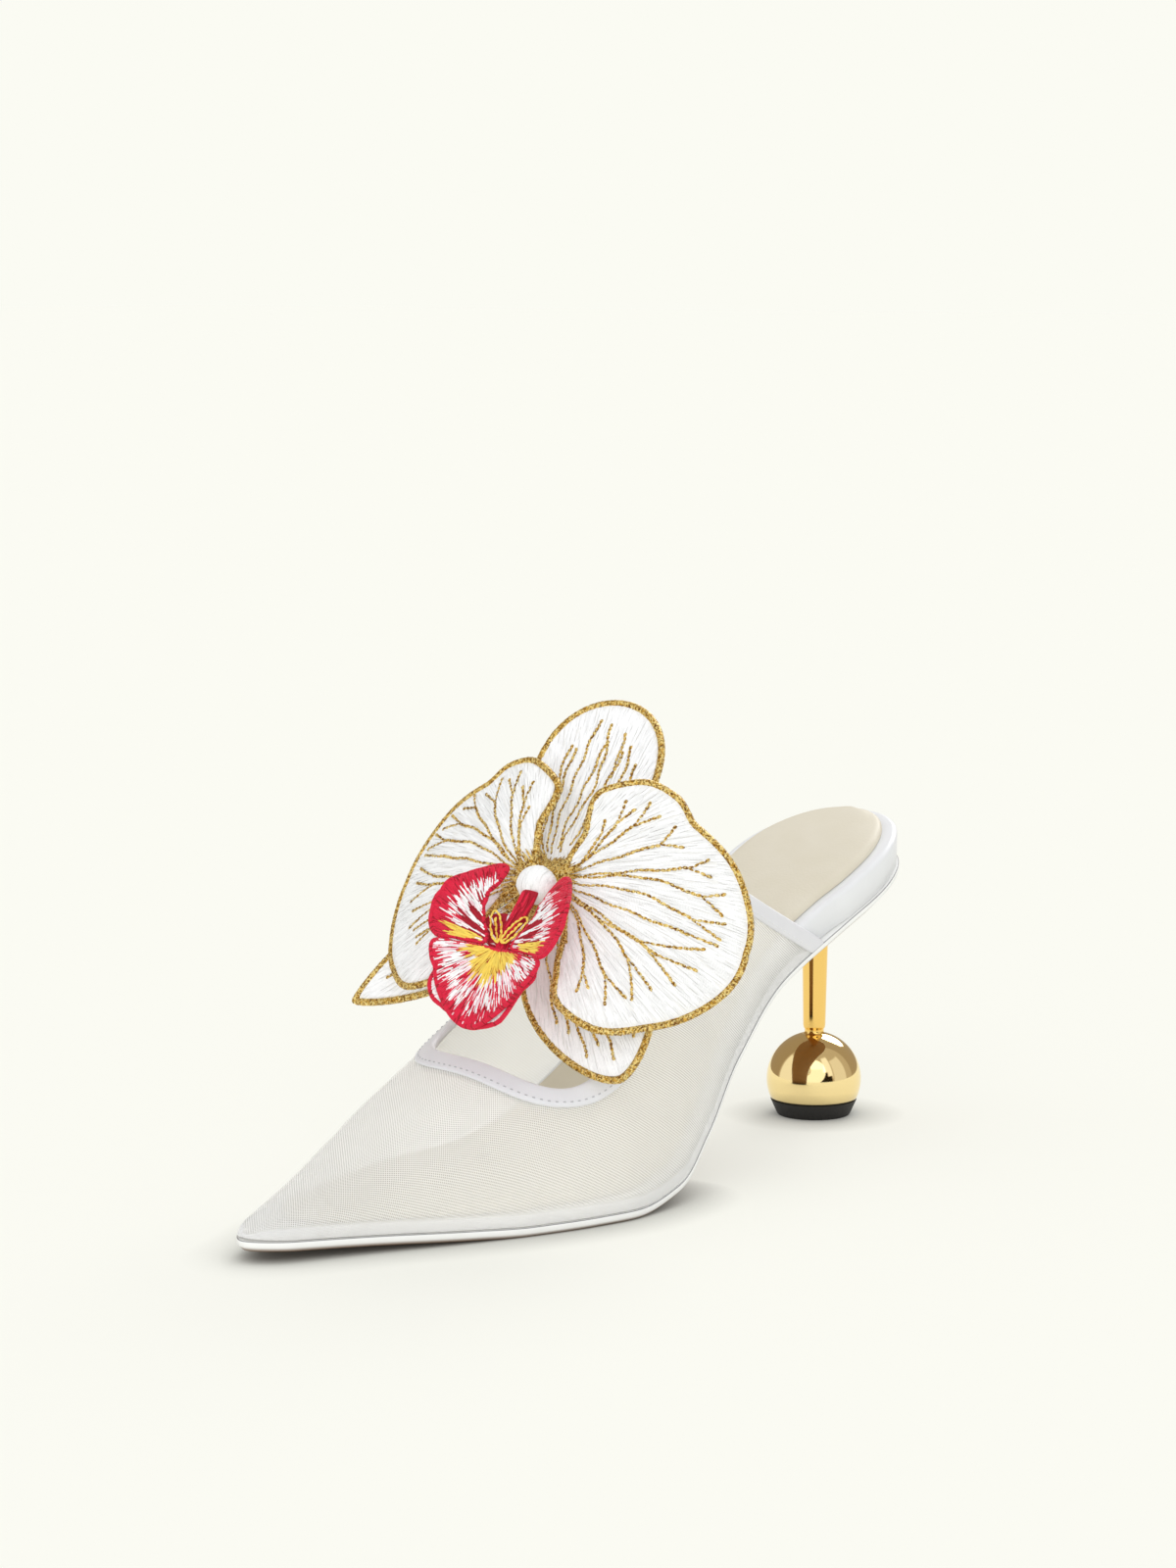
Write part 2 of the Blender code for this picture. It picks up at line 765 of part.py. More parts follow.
def cord_loop(name, points, radius, look, group):
    """A round cord along a closed path."""
    curve = bpy.data.curves.new(name, "CURVE")
    curve.dimensions = "3D"
    curve.bevel_depth = radius * MM
    curve.bevel_resolution = 1
    spline = curve.splines.new("POLY")
    spline.points.add(len(points) - 1)
    for knot, point in zip(spline.points, points):
        knot.co = (*place(point), 1)
    spline.use_cyclic_u = True
    curve.materials.append(material(look))
    thing = bpy.data.objects.new(name, curve)
    group.objects.link(thing)
    return thing


def edged_sheet(name, outline, surface, group):
    """A white sheet and the gold cord around it."""

    def point_at(angle, share, inset=SHEET_INSET):
        right, up = outline(angle, share, inset)
        return flower_point(right, up, surface(right, up))

    sheet(name, point_at, "white thread", group)
    angles = np.arange(OUTLINE_STEPS) * 2 * math.pi / OUTLINE_STEPS
    path = [point_at(angle, 1.0, 0.0) for angle in angles]
    cord_loop(name + "_cord", path, CORD_RADIUS, "gold cord", group)


def petals_and_sepals(group):
    for name, side in (("petal_right", 1), ("petal_left", -1)):
        edged_sheet(name, lobe_outline(PETAL_ROWS, PETAL_MIDDLE, side), petal_surface, group)
    for values in SEPAL_ROWS:
        row = dict(zip(SEPAL_COLUMNS, values))

        def surface(right, up, row=row):
            return row["front"] - row["sweep"] * math.hypot(right, up)

        edged_sheet(row["name"], sepal_outline(row), surface, group)


def lip(group):
    lobes = (
        ("lip_mid", lobe_outline(MID_LOBE_ROWS, MID_LOBE_MIDDLE)),
        ("lip_wing_right", lobe_outline(WING_ROWS, WING_MIDDLE)),
        ("lip_wing_left", lobe_outline(WING_ROWS, WING_MIDDLE, -1)),
    )
    for name, outline in lobes:
        def point_at(angle, share, outline=outline):
            right, up = outline(angle, share)
            return flower_point(right, up, lip_surface(right, up))

        sheet(name, point_at, "red thread", group)


def callus(group):
    """Two cord loops that fan out from the middle of the lip."""
    tilt = math.radians(CALLUS_TILT)
    for name, side in (("callus_right", 1), ("callus_left", -1)):
        path = []
        for angle in np.arange(CALLUS_STEPS) * 2 * math.pi / CALLUS_STEPS:
            across = CALLUS_HALF_SIZES[0] * math.cos(angle)
            along = CALLUS_HALF_SIZES[1] * math.sin(angle)
            right = CALLUS_MIDDLE[0] + across * math.cos(tilt) + along * math.sin(tilt)
            up = CALLUS_MIDDLE[1] + along * math.cos(tilt) - across * math.sin(tilt)
            path.append(flower_point(side * right, up, CALLUS_FRONT))
        cord_loop(name, path, CALLUS_RADIUS, "yellow cord", group)


def lip_claw(group):
    """A stitched strip from the column down behind the middle of the lip."""
    rings = []
    for down, half in CLAW_ROWS:
        wide, thick = half - CLAW_CORNER, CLAW_HALF_THICK - CLAW_CORNER
        corners = (
            (half, thick),
            (wide, CLAW_HALF_THICK),
            (-wide, CLAW_HALF_THICK),
            (-half, thick),
            (-half, -thick),
            (-wide, -CLAW_HALF_THICK),
            (wide, -CLAW_HALF_THICK),
            (half, -thick),
        )
        rings.append([flower_point(x, -down, CLAW_FRONT + z) for x, z in corners])
    loft("lip_claw", rings, "red thread", group)


def upper_height(x, station):
    """Height of the upper's outside above a point of the plan."""
    middle, half = plan(station)
    side = min(abs(x - middle) / half, 1.0)
    base = upper_point(station, 0.0)[2]
    top = upper_point(station, 0.5)[2]
    return base + (top - base) * (1 - side**SECTION_POWER) ** (1 / SECTION_POWER)


def stem_foot():
    """How far back from the flower's middle the stem can run before it meets the upper."""
    back = 0.0
    while True:
        x, station, z = flower_point(0.0, STEM_UP, -back)
        if z - upper_height(x, station) < STEM_FOOT_RADIUS / 2:
            return -back
        back += STEM_STEP


def column(group):
    """Rounded cap in the middle of the flower, on the stem that holds it to the upper."""
    right, up, front = COLUMN_MIDDLE
    rings = []
    for height in np.radians(np.linspace(*COLUMN_DEGREES, COLUMN_RINGS)):
        level = front + COLUMN_RADII[2] * math.sin(height)
        wide = math.cos(height)
        rings.append((right, up, level, wide * COLUMN_RADII[0], wide * COLUMN_RADII[1]))
    for level, radius in (*STEM_ROWS, (stem_foot(), STEM_FOOT_RADIUS)):
        rings.append((0.0, STEM_UP, level, radius, radius))
    turns = -np.arange(COLUMN_SIDES) * 2 * math.pi / COLUMN_SIDES
    solid = []
    for middle, height, level, wide, tall in rings:
        round_points = [(middle + wide * math.cos(t), height + tall * math.sin(t)) for t in turns]
        solid.append([flower_point(x, y, level) for x, y in round_points])
    loft("column", solid, "white thread", group)


def main():
    for thing in list(bpy.data.objects):
        bpy.data.objects.remove(thing)
    group = bpy.data.collections.new("heeled_mule")
    cutters = bpy.data.collections.new("cutters")
    bpy.context.scene.collection.children.link(group)
    bpy.context.scene.collection.children.link(cutters)
    outsole(group)
    footbed(group)
    insole_sock(group)
    upper(group)
    topline_binding(group)
    throat_binding(group)
    heel(group, cutters)
    petals_and_sepals(group)
    lip(group)
    callus(group)
    lip_claw(group)
    column(group)


main()
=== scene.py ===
"""Looks of a left heeled mule with a sheer mesh upper and an embroidered orchid.

Sizes are millimetres. Stations run along the shoe from the back of the heel (0) to the toe, and
turns run around the upper from its outer lower edge (0) over the ridge (0.5) to the inner one (1).
"""

import math

import bpy
import numpy as np
from mathutils import Matrix, Vector


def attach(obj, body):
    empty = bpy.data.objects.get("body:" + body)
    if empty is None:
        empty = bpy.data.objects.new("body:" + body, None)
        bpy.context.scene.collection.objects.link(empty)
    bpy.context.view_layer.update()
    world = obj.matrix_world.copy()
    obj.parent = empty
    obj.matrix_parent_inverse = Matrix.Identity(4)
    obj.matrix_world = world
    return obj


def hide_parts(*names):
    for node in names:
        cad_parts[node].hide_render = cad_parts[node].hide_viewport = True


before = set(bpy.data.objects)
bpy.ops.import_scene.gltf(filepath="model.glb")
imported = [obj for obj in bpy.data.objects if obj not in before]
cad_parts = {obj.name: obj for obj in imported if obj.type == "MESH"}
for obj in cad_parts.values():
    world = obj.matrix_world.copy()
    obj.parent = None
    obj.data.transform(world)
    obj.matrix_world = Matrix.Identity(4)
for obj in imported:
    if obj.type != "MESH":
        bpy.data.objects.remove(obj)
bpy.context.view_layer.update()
rng = np.random.default_rng(7)

MM = 0.001
CENTRE_X = 4.0
LENGTH = 238.0
HEEL_Y = LENGTH / 2


# Curves, lines and colours.


def smooth_through(places, values):
    """A curve through the values that never overshoots them."""
    places = np.asarray(places, float)
    values = np.asarray(values, float)
    step = np.diff(places)
    rise = np.diff(values) / step
    slope = np.concatenate([rise[:1], np.zeros(len(places) - 2), rise[-1:]])
    for i in range(1, len(places) - 1):
        if rise[i - 1] * rise[i] > 0:
            before = 2 * step[i] + step[i - 1]
            after = step[i] + 2 * step[i - 1]
            slope[i] = (before + after) / (before / rise[i - 1] + after / rise[i])

    def curve(place):
        place = np.clip(place, places[0], places[-1])
        i = np.clip(np.searchsorted(places, place) - 1, 0, len(step) - 1)
        t = (place - places[i]) / step[i]
        start = (values[i] * (1 + 2 * t) + slope[i] * step[i] * t) * (1 - t) ** 2
        return start + (values[i + 1] * (3 - 2 * t) + slope[i + 1] * step[i] * (t - 1)) * t**2

    return curve


def table_curves(names, rows):
    """One smooth curve along a table's first column for each further column, by its name."""
    first, *others = zip(*rows)
    return {name: smooth_through(first, values) for name, values in zip(names.split(), others)}


def unit(vectors):
    """Vectors of length one along the last axis."""
    return vectors / np.maximum(np.linalg.norm(vectors, axis=-1, keepdims=True), 1e-9)


def ray(angle):
    """Flat directions of length one at an angle."""
    return np.stack([np.cos(angle), np.sin(angle)], axis=-1)


def full_turn(steps=144):
    return np.arange(steps) * 2 * np.pi / steps


def eased(wave, power):
    """A wave between -1 and 1, made squarer or sharper by a power."""
    return np.sign(wave) * np.abs(wave) ** power


def run_along(points):
    """Distances along a line of points."""
    return np.concatenate([[0], np.cumsum(np.linalg.norm(np.diff(points, axis=0), axis=1))])


def resampled(points, spacing):
    """Points along a line at an even spacing."""
    run = run_along(points)
    at = np.linspace(0, run[-1], max(int(run[-1] / spacing), 2) + 1)
    return np.stack([np.interp(at, run, values) for values in points.T], axis=-1)


def srgb(red, green, blue):
    """Linear colour from the usual 0 to 255 values."""
    values = np.array([red, green, blue]) / 255
    linear = np.where(values <= 0.04045, values / 12.92, ((values + 0.055) / 1.055) ** 2.4)
    return tuple(linear.tolist())


PLAIN = (1, 1, 1)
WHITE = srgb(249, 249, 248)
# Pure white for the sepals, brighter than the petals' white: painted light that lifts the shade the petals
# cast on them.
SEPAL_PAINTED_LIGHT_WHITE = srgb(255, 255, 255)
WARM_WHITE = srgb(244, 243, 240)
BRIGHT_GOLD = srgb(240, 204, 108)
GOLD = srgb(208, 158, 50)
DARK_GOLD = srgb(138, 90, 18)
CRIMSON = srgb(222, 24, 62)
DARK_RED = srgb(172, 10, 38)
PINK = srgb(245, 206, 214)
YELLOW = srgb(246, 214, 92)
AMBER = srgb(230, 178, 66)


# Meshes are dictionaries of points, faces, tones and uv until they become a piece.

SHARP_DEGREES = 50.0


def place(points):
    """Shoe millimetres (x, station, z) to metres of the frame."""
    return (points * np.array([1, -1, 1]) + (-CENTRE_X, HEEL_Y, 0)) * MM


def grid_faces(rows, columns, ring=False):
    """Quads between the rows of a grid, each a closed loop of points; in a ring the rows close too."""
    row, column = np.meshgrid(np.arange(rows if ring else rows - 1), np.arange(columns), indexing="ij")
    start = row * columns
    after = (row + 1) % rows * columns
    beside = (column + 1) % columns
    return np.stack([start + column, after + column, after + beside, start + beside], axis=-1).reshape(-1, 4)


def mesh_of(points, faces, tone=WHITE, uv=(0, 0)):
    """A mesh with its faces turned outward by its volume."""
    points = place(np.reshape(points, (-1, 3)))
    corners = np.array([(*face[:3], face[-1]) for face in faces])
    first, second, third, last = points[corners.T]
    if np.sum(first * (np.cross(second, third) + np.cross(third, last))) < 0:
        faces = [face[::-1] for face in faces]
    tone = np.broadcast_to(np.reshape(tone, (-1, 3)), points.shape)
    uv = np.broadcast_to(np.reshape(uv, (-1, 2)), (len(points), 2))
    return {"points": points, "faces": faces, "tone": tone, "uv": uv}


def skin(grid, ring=False, tone=WHITE, uv=(0, 0)):
    """A closed mesh over a grid whose rows are loops: a ring of them, or a tube with both ends capped."""
    rows, columns = grid.shape[:2]
    faces = grid_faces(rows, columns, ring).tolist()
    if not ring:
        loop = np.arange(columns)
        faces += [loop.tolist(), (loop[::-1] + (rows - 1) * columns).tolist()]
    return mesh_of(grid, faces, tone, uv)


def there_and_back(front, back):
    """Two grids as one, whose loops run out along the first and home along the second."""
    return np.concatenate([front, back[:, ::-1]], axis=1)


def joined(meshes):
    """Several meshes as one."""
    whole = {key: np.concatenate([mesh[key] for mesh in meshes]) for key in ("points", "tone", "uv")}
    whole["faces"] = []
    offset = 0
    for mesh in meshes:
        whole["faces"] += [[i + offset for i in face] for face in mesh["faces"]]
        offset += len(mesh["points"])
    return whole


def linked(name, data):
    thing = bpy.data.objects.new(name, data)
    bpy.context.scene.collection.objects.link(thing)
    return thing


def piece(name, mesh, look, slot, *nodes):
    """A shown object that rides with the shoe and stands for the named solids."""
    data = bpy.data.meshes.new(name)
    data.from_pydata(mesh["points"].tolist(), [], mesh["faces"])
    data.shade_smooth()
    data.set_sharp_from_angle(angle=math.radians(SHARP_DEGREES))
    tone = data.color_attributes.new("tone", "FLOAT_COLOR", "POINT")
    colours = np.concatenate([mesh["tone"], np.ones((len(mesh["tone"]), 1))], axis=1)
    tone.data.foreach_set("color", colours.astype(np.float32).ravel())
    corners = np.zeros(len(data.loops), np.int32)
    data.loops.foreach_get("vertex_index", corners)
    layer = data.uv_layers.new(name="weave")
    layer.data.foreach_set("uv", mesh["uv"][corners].astype(np.float32).ravel())
    data.materials.append(LOOKS[look])
    thing = linked(name, data)
    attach(thing, "root")
    if nodes:
        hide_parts(*nodes)
    return thing


# Materials. Sizes of spots, pitches and depths of bumps are millimetres.


def new_look(name):
    look = bpy.data.materials.new(name)
    look.use_nodes = True
    return look


def feed(look, socket, value):
    if isinstance(value, bpy.types.NodeSocket):
        look.node_tree.links.new(value, socket)
    else:
        socket.default_value = value


def dress(look, made, inputs):
    """Feeds a node's inputs with values or with other nodes' outputs."""
    for key, value in inputs.items():
        feed(look, made.inputs[key], value)


def dressed(look, inputs):
    """The material, once its own shader is fed."""
    dress(look, look.node_tree.nodes["Principled BSDF"], inputs)
    return look


def node(look, kind, inputs=None, **settings):
    made = look.node_tree.nodes.new("ShaderNode" + kind)
    for key, value in settings.items():
        setattr(made, key, value)
    dress(look, made, inputs or {})
    return made


def texture(look, kind, size, **inputs):
    """A texture of the piece's own space whose spots are about that size."""
    where = node(look, "TexCoord").outputs["Object"]
    return node(look, kind, {"Vector": where, "Scale": 1 / (size * MM), **inputs}).outputs


def noise(look, size, detail=3.0):
    return texture(look, "TexNoise", size, Detail=detail)["Fac"]


def own_tone(look):
    return node(look, "VertexColor", layer_name="tone").outputs["Color"]


def weave_uv(look):
    """The mesh's own uv, split: along it in millimetres, and across or around it."""
    uv = node(look, "UVMap", uv_map="weave").outputs["UV"]
    return node(look, "SeparateXYZ", {"Vector": uv}).outputs


def between(look, factor, low, high):
    """A number that runs from low to high with the factor."""
    return node(look, "MapRange", {"Value": factor, "To Min": low, "To Max": high}).outputs["Result"]


def mixed(look, factor, first, second, blend="MIX"):
    """A colour between two others, or their product."""
    made = node(look, "Mix", {"Factor": factor}, data_type="RGBA", blend_type=blend)
    for socket, colour in ((made.inputs[6], first), (made.inputs[7], second)):
        feed(look, socket, colour if isinstance(colour, bpy.types.NodeSocket) else (*colour, 1))
    return made.outputs[2]


def maths(look, operation, first, second=0.0):
    return node(look, "Math", {0: first, 1: second}, operation=operation).outputs[0]


def sine(look, value, rate):
    return maths(look, "SINE", maths(look, "MULTIPLY", value, rate))


def bump(look, height, strength, depth):
    made = node(look, "Bump", {"Height": height, "Strength": strength, "Distance": depth * MM})
    return made.outputs["Normal"]


def leather(name, light, dark, grain, grain_depth, rough):
    """Smooth leather: cloudy colour, a fine pebbled grain and an uneven gloss, in the mesh's own tone."""
    look = new_look(name)
    cloudy = mixed(look, noise(look, 9.0), srgb(*light), srgb(*dark))
    pebbles = texture(look, "TexVoronoi", grain)["Distance"]
    height = maths(look, "ADD", pebbles, noise(look, 2.5 * grain, 4.0))
    inputs = {
        "Base Color": mixed(look, 1.0, cloudy, own_tone(look), "MULTIPLY"),
        "Normal": bump(look, height, 0.35, grain_depth),
        "Roughness": between(look, noise(look, 4.0), rough - 0.06, rough + 0.08),
        "Specular IOR Level": 0.4,
    }
    return dressed(look, inputs)


MESH_PITCH = 0.54
MESH_THREAD = srgb(246, 245, 241)
# Colour of the net's gaps: painted shade of the inside, tinted beige like the sock behind.
MESH_GAP_PAINTED_SHADE = srgb(226, 219, 196)
MESH_OPEN = 0.22
MESH_CLOSED = 0.62
MESH_UNEVEN = 0.04
MESH_GLOW_DEPTH = 3.0
MARGIN_COVER = 0.8


def sheer_mesh():
    """Fine bias net: threads that show, holes that let the inside through and carry painted shade, and a
    closed lower margin.
    """
    look = new_look("sheer_mesh")
    uv = weave_uv(look)
    lines = []
    for operation in ("ADD", "SUBTRACT"):
        lean = maths(look, operation, uv["X"], uv["Y"])
        lines.append(maths(look, "ABSOLUTE", sine(look, lean, math.pi / MESH_PITCH / math.sqrt(2))))
    net = maths(look, "MAXIMUM", *lines)
    margin = own_tone(look)
    cloud = between(look, noise(look, 14.0), -MESH_UNEVEN, MESH_UNEVEN)
    cover = between(look, maths(look, "POWER", net, 3.0), MESH_OPEN, MESH_CLOSED)
    cover = maths(look, "ADD", cover, cloud)
    inputs = {
        # Threads take the thread colour and gaps the painted shade of the inside; the margin and lining take
        # the thread colour.
        "Base Color": mixed(look, maths(look, "MAXIMUM", net, margin), MESH_GAP_PAINTED_SHADE, MESH_THREAD),
        "Roughness": 0.78,
        "Specular IOR Level": 0.15,
        "Sheen Weight": 0.2,
        "Subsurface Weight": 0.7,
        "Subsurface Radius": (1, 1, 1),
        "Subsurface Scale": MESH_GLOW_DEPTH * MM,
        "Normal": bump(look, net, 0.4, 0.1),
        "Alpha": maths(look, "MAXIMUM", cover, maths(look, "MULTIPLY", margin, MARGIN_COVER)),
    }
    return dressed(look, inputs)


TAPE_RIBS = 0.42


def satin_tape():
    """Ribbed satin tape, with ribs across its width."""
    look = new_look("satin_tape")
    ribs = sine(look, weave_uv(look)["X"], 2 * math.pi / TAPE_RIBS)
    inputs = {
        "Base Color": mixed(look, noise(look, 6.0), srgb(226, 226, 228), srgb(218, 218, 221)),
        "Roughness": between(look, noise(look, 2.0), 0.36, 0.5),
        "Normal": bump(look, maths(look, "ADD", ribs, noise(look, 0.5)), 0.25, 0.06),
        "Sheen Weight": 0.15,
    }
    return dressed(look, inputs)


def polished_gold(name, colour):
    """Plated gold: mirror finish with faint polishing haze."""
    look = new_look(name)
    inputs = {
        "Base Color": (*colour, 1),
        "Metallic": 1.0,
        "Roughness": between(look, noise(look, 7.0, 5.0), 0.03, 0.11),
        "Normal": bump(look, noise(look, 3.0, 2.0), 0.03, 0.05),
    }
    return dressed(look, inputs)


def black_rubber():
    """Dull black rubber with a fine, uneven grain."""
    look = new_look("black_rubber")
    inputs = {
        "Base Color": mixed(look, noise(look, 1.2), srgb(20, 19, 18), srgb(34, 32, 30)),
        "Roughness": between(look, noise(look, 0.8), 0.5, 0.75),
        "Normal": bump(look, noise(look, 0.35, 4.0), 0.4, 0.08),
    }
    return dressed(look, inputs)


def twist(look, pitch):
    """Slanted plies along a thread."""
    uv = weave_uv(look)
    along = maths(look, "MULTIPLY", uv["X"], 2 * math.pi / pitch)
    around = maths(look, "MULTIPLY", uv["Y"], 4 * math.pi)
    return maths(look, "SINE", maths(look, "ADD", along, around))


def embroidery_thread():
    """Silky embroidery thread in the tone that each stitch carries."""
    look = new_look("embroidery_thread")
    tone = own_tone(look)
    dull = node(look, "HueSaturation", {"Value": 0.9, "Color": tone}).outputs["Color"]
    inputs = {
        "Base Color": mixed(look, noise(look, 0.6), tone, dull),
        "Roughness": between(look, noise(look, 0.4), 0.45, 0.65),
        "Specular IOR Level": 0.25,
        "Normal": bump(look, twist(look, 0.7), 0.3, 0.05),
        "Sheen Weight": 0.12,
    }
    return dressed(look, inputs)


FOIL_SPECKS = 0.36
# Speck colours: dark brown painted shade, gold, and pale painted glints.
FOIL_GLINT_COLOURS = ((0.29, srgb(112, 68, 8)), (0.46, srgb(220, 168, 54)), (0.64, srgb(255, 236, 160)))


def gold_thread():
    """Metallic thread whose foil is painted in specks: painted glints in the palest, painted shade in the
    darkest, gold between.
    """
    look = new_look("gold_thread")
    foil = texture(look, "TexVoronoi", FOIL_SPECKS)
    foil_glints = node(look, "ValToRGB", {"Fac": foil["Color"]})
    ramp = foil_glints.color_ramp.elements
    for position, colour in FOIL_GLINT_COLOURS:
        ramp.new(position).color = (*colour, 1)
    ramp.remove(ramp[0])
    ramp.remove(ramp[-1])
    inputs = {
        "Base Color": mixed(look, 0.72, own_tone(look), foil_glints.outputs["Color"]),
        "Metallic": 0.45,
        "Roughness": between(look, noise(look, 0.5), 0.25, 0.5),
        "Normal": bump(look, maths(look, "ADD", twist(look, 0.5), foil["Distance"]), 0.6, 0.08),
    }
    return dressed(look, inputs)


LOOKS = {
    "footbed": leather("white_lining", (231, 232, 233), (224, 225, 226), 0.5, 0.03, 0.34),
    "outsole": leather("white_outsole", (248, 248, 246), (240, 240, 237), 0.6, 0.04, 0.42),
    "sock": leather("beige_sock", (218, 211, 194), (211, 203, 182), 0.7, 0.07, 0.52),
    "mesh": sheer_mesh(),
    "tape": satin_tape(),
    "gold": polished_gold("polished_gold", srgb(252, 228, 168)),
    # The pin's gold is a deeper copy of the ball's: painted shade against the bright panels that it mirrors.
    "pin_gold_painted_shade": polished_gold("pin_gold_painted_shade", srgb(250, 208, 120)),
    "rubber": black_rubber(),
    "thread": embroidery_thread(),
    "gold_thread": gold_thread(),
}


# Sole, board and sock, as in the solids.

SOLE_ROWS = (
    (0, 24.5, 24.5, 72.2, 9.0),
    (20, 24.5, 24.5, 65.2, 8.8),
    (40, 23.2, 23.0, 56.7, 8.6),
    (65, 22.6, 20.6, 45.7, 8.0),
    (90, 26.6, 20.4, 29.6, 6.6),
    (112, 33.6, 24.0, 14.2, 5.2),
    (130, 38.6, 28.6, 5.2, 4.2),
    (146, 39.4, 32.2, 2.4, 3.6),
    (158, 37.2, 33.4, 2.4, 3.4),
    (176, 31.2, 31.4, 2.4, 3.2),
    (190, 24.8, 27.0, 3.0, 3.0),
    (212, 13.4, 19.0, 4.2, 2.8),
    (238, 1.0, 9.0, 5.4, 2.4),
)
INSET_ROWS = ((0, 0.3, 3.8), (36, 0.3, 3.8), (46, 1.6, 4.6), (150, 1.6, 4.4), (238, 1.8, 4.4))
SOLE = table_curves("outer inner feather rim", SOLE_ROWS)
INSET = table_curves("footbed sock", INSET_ROWS)
feather = SOLE["feather"]

SEAT_ROUND = 34.0
SEAT_POWER = 2.3
TOE_ROUND = 8.0
ROUND_POWER = 2.0
OUTSOLE_THICK = 2.4
OUTSOLE_LEDGE = 0.2
OUTSOLE_BEVEL = 1.1
OUTSOLE_SOFT = 0.3
FOOTBED_TOE = 233.0
FOOTBED_GAP = 0.25
FOOTBED_SOFT = 1.3
SOCK_TOE = 222.0
SOCK_BOTTOM = 0.05
SOCK_TOP = 2.4
SOCK_SOFT = 1.9
SOCK_CROWN = 0.5
TREAD_LEATHER = (0.21, 0.10, 0.035)
# Grey painted into the outsole's rounded top edge: painted shade of the crease where the footbed and upper
# meet it.
PAINTED_SEAM_SHADE = (0.30, 0.30, 0.31)
SLAB_STATIONS = 150
# Around the rounded heel and toe: the stations' first and last angles in degrees, and their number.
SEAT_ANGLES = (1.5, 90, 24)
TOE_ANGLES = (90, 3, 18)
THINNEST = 0.02
CAP_STEPS = 14


def end_round(share, power):
    """Rises from 0 to 1 like the end of a rounded outline."""
    return (1 - (1 - np.clip(share, 0.0, 1.0)) ** power) ** (1 / power)


def plan(station, inset=0.0, start=0.0, end=LENGTH):
    """Middle and half width of the outline at a station, seen from above."""
    outer = SOLE["outer"](station)
    inner = SOLE["inner"](station)
    half = (outer + inner) / 2 - inset
    half = half * end_round((station - start) / SEAT_ROUND, SEAT_POWER)
    half = half * end_round((end - station) / TOE_ROUND, ROUND_POWER)
    return (outer - inner) / 2, half


def slab_stations(start, end):
    """Stations that crowd at the rounded heel and toe."""
    seat = 1 - np.cos(np.radians(np.linspace(*SEAT_ANGLES)[:-1]))
    toe = 1 - np.cos(np.radians(np.linspace(*TOE_ANGLES)[1:]))
    middle = np.linspace(start + SEAT_ROUND, end - TOE_ROUND, SLAB_STATIONS)
    return np.concatenate([start + SEAT_ROUND * seat, middle, end - TOE_ROUND * toe])


def slab(span, inset, low, high, soft, crown=0.0, bevel=0.35, under=PLAIN, seam=PLAIN):
    """A flat piece along the foot: bevelled below, rounded above, with a crowned top and painted shade along
    its seam.
    """
    levels = [(bevel, low, 0.0), (0.0, low, bevel)]
    for bend in np.radians(np.linspace(0, 90, 6)):
        levels.append((soft * (1 - math.cos(bend)), high, soft * (math.sin(bend) - 1)))
    outer, inner = [], []
    for extra, height, lift in levels:
        start, end = span[0] + extra, span[1] - extra
        station = slab_stations(start, end)
        middle, half = plan(station, inset(station) + extra, start, end)
        half = np.maximum(half, THINNEST)
        for side, line in ((half, outer), (-half, inner)):
            line.append(np.stack([middle + side, station, height(station) + lift], axis=-1))
    share = np.linspace(0, 1, CAP_STEPS + 1)[1:-1, None, None]
    bottom = inner[0] + (outer[0] - inner[0]) * share
    top = outer[-1] + (inner[-1] - outer[-1]) * share
    top[..., 2] += crown * (1 - (2 * share[..., 0] - 1) ** 4)
    # The seam rows paint shade into the upper part of the rounded top edge, where the piece above meets it.
    rise = [under, PLAIN, PLAIN, PLAIN, seam, seam, seam, PLAIN]
    tones = rise + [PLAIN] * len(top) + rise[::-1] + [under] * len(bottom)
    grid = np.stack([*outer, *top, *inner[::-1], *bottom], axis=1)
    rows, columns = grid.shape[:2]
    step = np.arange(columns // 2 + 1)
    middle = len(outer) + len(top) // 2
    left, right = (middle + step) % columns, (middle - step) % columns
    rungs = np.stack([left[:-1], left[1:], right[1:], right[:-1]], axis=-1)
    ends = np.concatenate([rungs, rungs[:, ::-1] + (rows - 1) * columns]).tolist()
    faces = grid_faces(rows, columns).tolist() + [list(dict.fromkeys(face)) for face in ends]
    return mesh_of(grid, faces, np.tile(tones, (rows, 1)))


def footbed_top(station):
    return feather(station) + SOLE["rim"](station)


def sole_pieces():
    outsole = slab(
        (-OUTSOLE_LEDGE, LENGTH + OUTSOLE_LEDGE),
        lambda s: -OUTSOLE_LEDGE + 0 * s,
        lambda s: feather(s) - OUTSOLE_THICK,
        feather,
        OUTSOLE_SOFT,
        bevel=OUTSOLE_BEVEL,
        under=TREAD_LEATHER,
        seam=PAINTED_SEAM_SHADE,
    )
    piece("outsole_leather", outsole, "outsole", "white_leather", "outsole")
    footbed = slab(
        (INSET["footbed"](0), FOOTBED_TOE),
        INSET["footbed"],
        lambda s: feather(s) + FOOTBED_GAP,
        footbed_top,
        FOOTBED_SOFT,
    )
    piece("footbed_cover", footbed, "footbed", "white_leather", "footbed")
    sock = slab(
        (INSET["sock"](0), SOCK_TOE),
        INSET["sock"],
        lambda s: footbed_top(s) + SOCK_BOTTOM,
        lambda s: footbed_top(s) + SOCK_TOP,
        SOCK_SOFT,
        crown=SOCK_CROWN,
    )
    pad = piece("sock_pad", sock, "sock", "beige_leather", "insole_sock")


# Upper.

